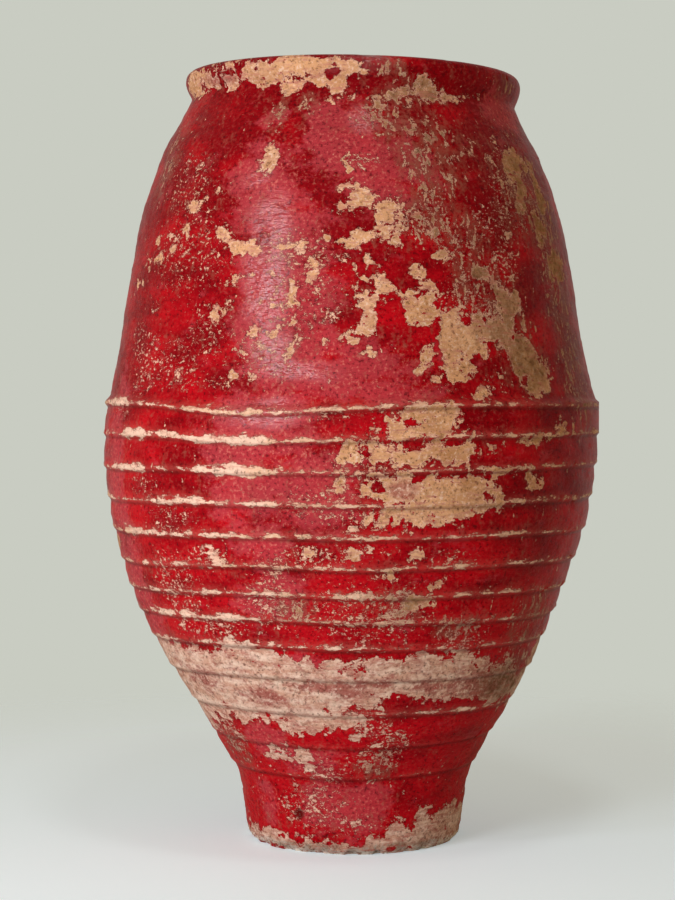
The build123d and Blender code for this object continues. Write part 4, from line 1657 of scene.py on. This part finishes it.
@dataclass
class Studio:
    """A plain pale floor and background, soft lights, and the photograph's camera."""

    image_width: float = 675.0
    image_height: float = 900.0
    focal_pixels: float = 2222.0
    sensor: float = 36.0
    axis_pixel: float = 350.0
    horizon_pixel: float = 390.0
    distance: float = 2.9243
    eye_height: float = 0.5876
    backdrop: str = "#C9CCC2"
    fill_colour: str = "#FFDAA4"
    fill: float = 0.33
    floor_colour: str = "#E0F0F8"
    floor_glow: float = 0.34
    floor_reach: float = 4.0
    floor_fades: tuple[float, float] = (0.7, 1.7)
    lamps: tuple[Lamp, ...] = (
        Lamp("window", -33.0, 2.0, (0.9, 2.2), 48.0, "#FBFBFF"),
        Lamp("skylight", -41.0, 30.0, (0.3, 0.3), 7.0, "#F6F4FF"),
        Lamp("ceiling", 8.0, 65.0, (0.35, 0.35), 6.5, "#FFFDF8"),
    )

    def add_camera(self) -> None:
        """Adds the camera, level with the jar's middle and tilted a little down."""
        lens = bpy.data.cameras.new("camera")
        lens.sensor_width = self.sensor
        lens.lens = self.focal_pixels / self.image_height * self.sensor
        camera = bpy.data.objects.new("camera", lens)
        down = math.atan((self.image_height / 2 - self.horizon_pixel) / self.focal_pixels)
        left = math.atan((self.axis_pixel - self.image_width / 2) / self.focal_pixels)
        camera.location = (0.0, -self.distance, self.eye_height)
        camera.rotation_euler = (math.pi / 2 - down, 0.0, left)
        bpy.context.collection.objects.link(camera)
        bpy.context.scene.camera = camera

    def add_world(self) -> None:
        """Lights the room evenly, and shows the backdrop's colour behind the jar."""
        world = bpy.data.worlds.new("room")
        world.use_nodes = True
        tree = world.node_tree
        tree.nodes.clear()
        rays = tree.nodes.new("ShaderNodeLightPath")
        seen = rays.outputs["Is Camera Ray"]
        for other in ("Is Glossy Ray", "Is Transmission Ray"):
            either = tree.nodes.new("ShaderNodeMath")
            either.operation = "MAXIMUM"
            tree.links.new(seen, either.inputs[0])
            tree.links.new(rays.outputs[other], either.inputs[1])
            seen = either.outputs[0]
        shown, even = (tree.nodes.new("ShaderNodeBackground") for _ in range(2))
        shown.inputs["Color"].default_value = linear(self.backdrop)
        even.inputs["Color"].default_value = linear(self.fill_colour)
        even.inputs["Strength"].default_value = self.fill
        choice = tree.nodes.new("ShaderNodeMixShader")
        tree.links.new(seen, choice.inputs[0])
        tree.links.new(even.outputs[0], choice.inputs[1])
        tree.links.new(shown.outputs[0], choice.inputs[2])
        output = tree.nodes.new("ShaderNodeOutputWorld")
        tree.links.new(choice.outputs[0], output.inputs["Surface"])
        bpy.context.scene.world = world

    def add_floor(self) -> None:
        """Adds the floor, which fades into the backdrop with distance from the jar."""
        reach = self.floor_reach
        mesh = bpy.data.meshes.new("floor")
        corners = [(-reach, -reach, 0), (reach, -reach, 0), (reach, reach, 0), (-reach, reach, 0)]
        mesh.from_pydata(corners, [], [(0, 1, 2, 3)])
        floor = bpy.data.objects.new("floor", mesh)
        bpy.context.collection.objects.link(floor)
        recipe = Recipe("matt_floor_paint")
        near, far = self.floor_fades
        away = recipe.add("VectorMath", {0: recipe.place}, "Value", operation="LENGTH")
        fade = recipe.add("MapRange", {0: away, 1: near, 2: far}, interpolation_type="SMOOTHSTEP")
        seen = recipe.add("LightPath", output="Is Camera Ray")
        glow = recipe.add("Math", {0: seen, 1: self.floor_glow}, operation="MULTIPLY")
        surface = recipe.add("BsdfPrincipled", {
            "Base Color": self.floor_colour, "Roughness": 0.8, "Specular IOR Level": 0.2,
            "Emission Color": self.floor_colour, "Emission Strength": glow,
        })
        clear = recipe.add("BsdfTransparent")
        mesh.materials.append(recipe.finish(recipe.add("MixShader", {0: fade, 1: surface, 2: clear})))

    def build(self) -> None:
        """Builds the studio."""
        bpy.context.scene.view_settings.view_transform = "Standard"
        self.add_camera()
        self.add_world()
        self.add_floor()
        for lamp in self.lamps:
            lamp.place()


def pieces_of(outline: Outline) -> list[WallRing]:
    """The jar's pieces, from the floor up.

    Args:
        outline: The jar's section.

    Returns:
        The pieces, with the levels that they reach from and to.
    """
    seams = outline.seams
    names = (
        "foot_wall", "flare_wall", "lower_belly", "middle_belly", "upper_belly", "lower_shoulder",
        "upper_shoulder",
    )
    rings = [WallRing(name, low, high) for name, low, high in zip(names, seams, seams[1:])]
    lip_end = float(outline.lip_rows()[2][-1])
    return [FloorDisc("floor_disc", 0.0, seams[0]), *rings, Lip("lip", outline.neck, lip_end)]


def main() -> None:
    """Builds the studio and the jar."""
    Studio().build()
    finishes = [PaintedFinish().build(), BareFinish().build()]
    skin = JarSkin()
    for ring in pieces_of(skin.outline):
        piece = ring.build(skin)
        ring.dress(piece, finishes)
        log.info("%s: %d faces", piece.name, len(piece.data.polygons))


if __name__ == "__main__":
    logging.basicConfig(level=logging.INFO, format="%(message)s")
    main()
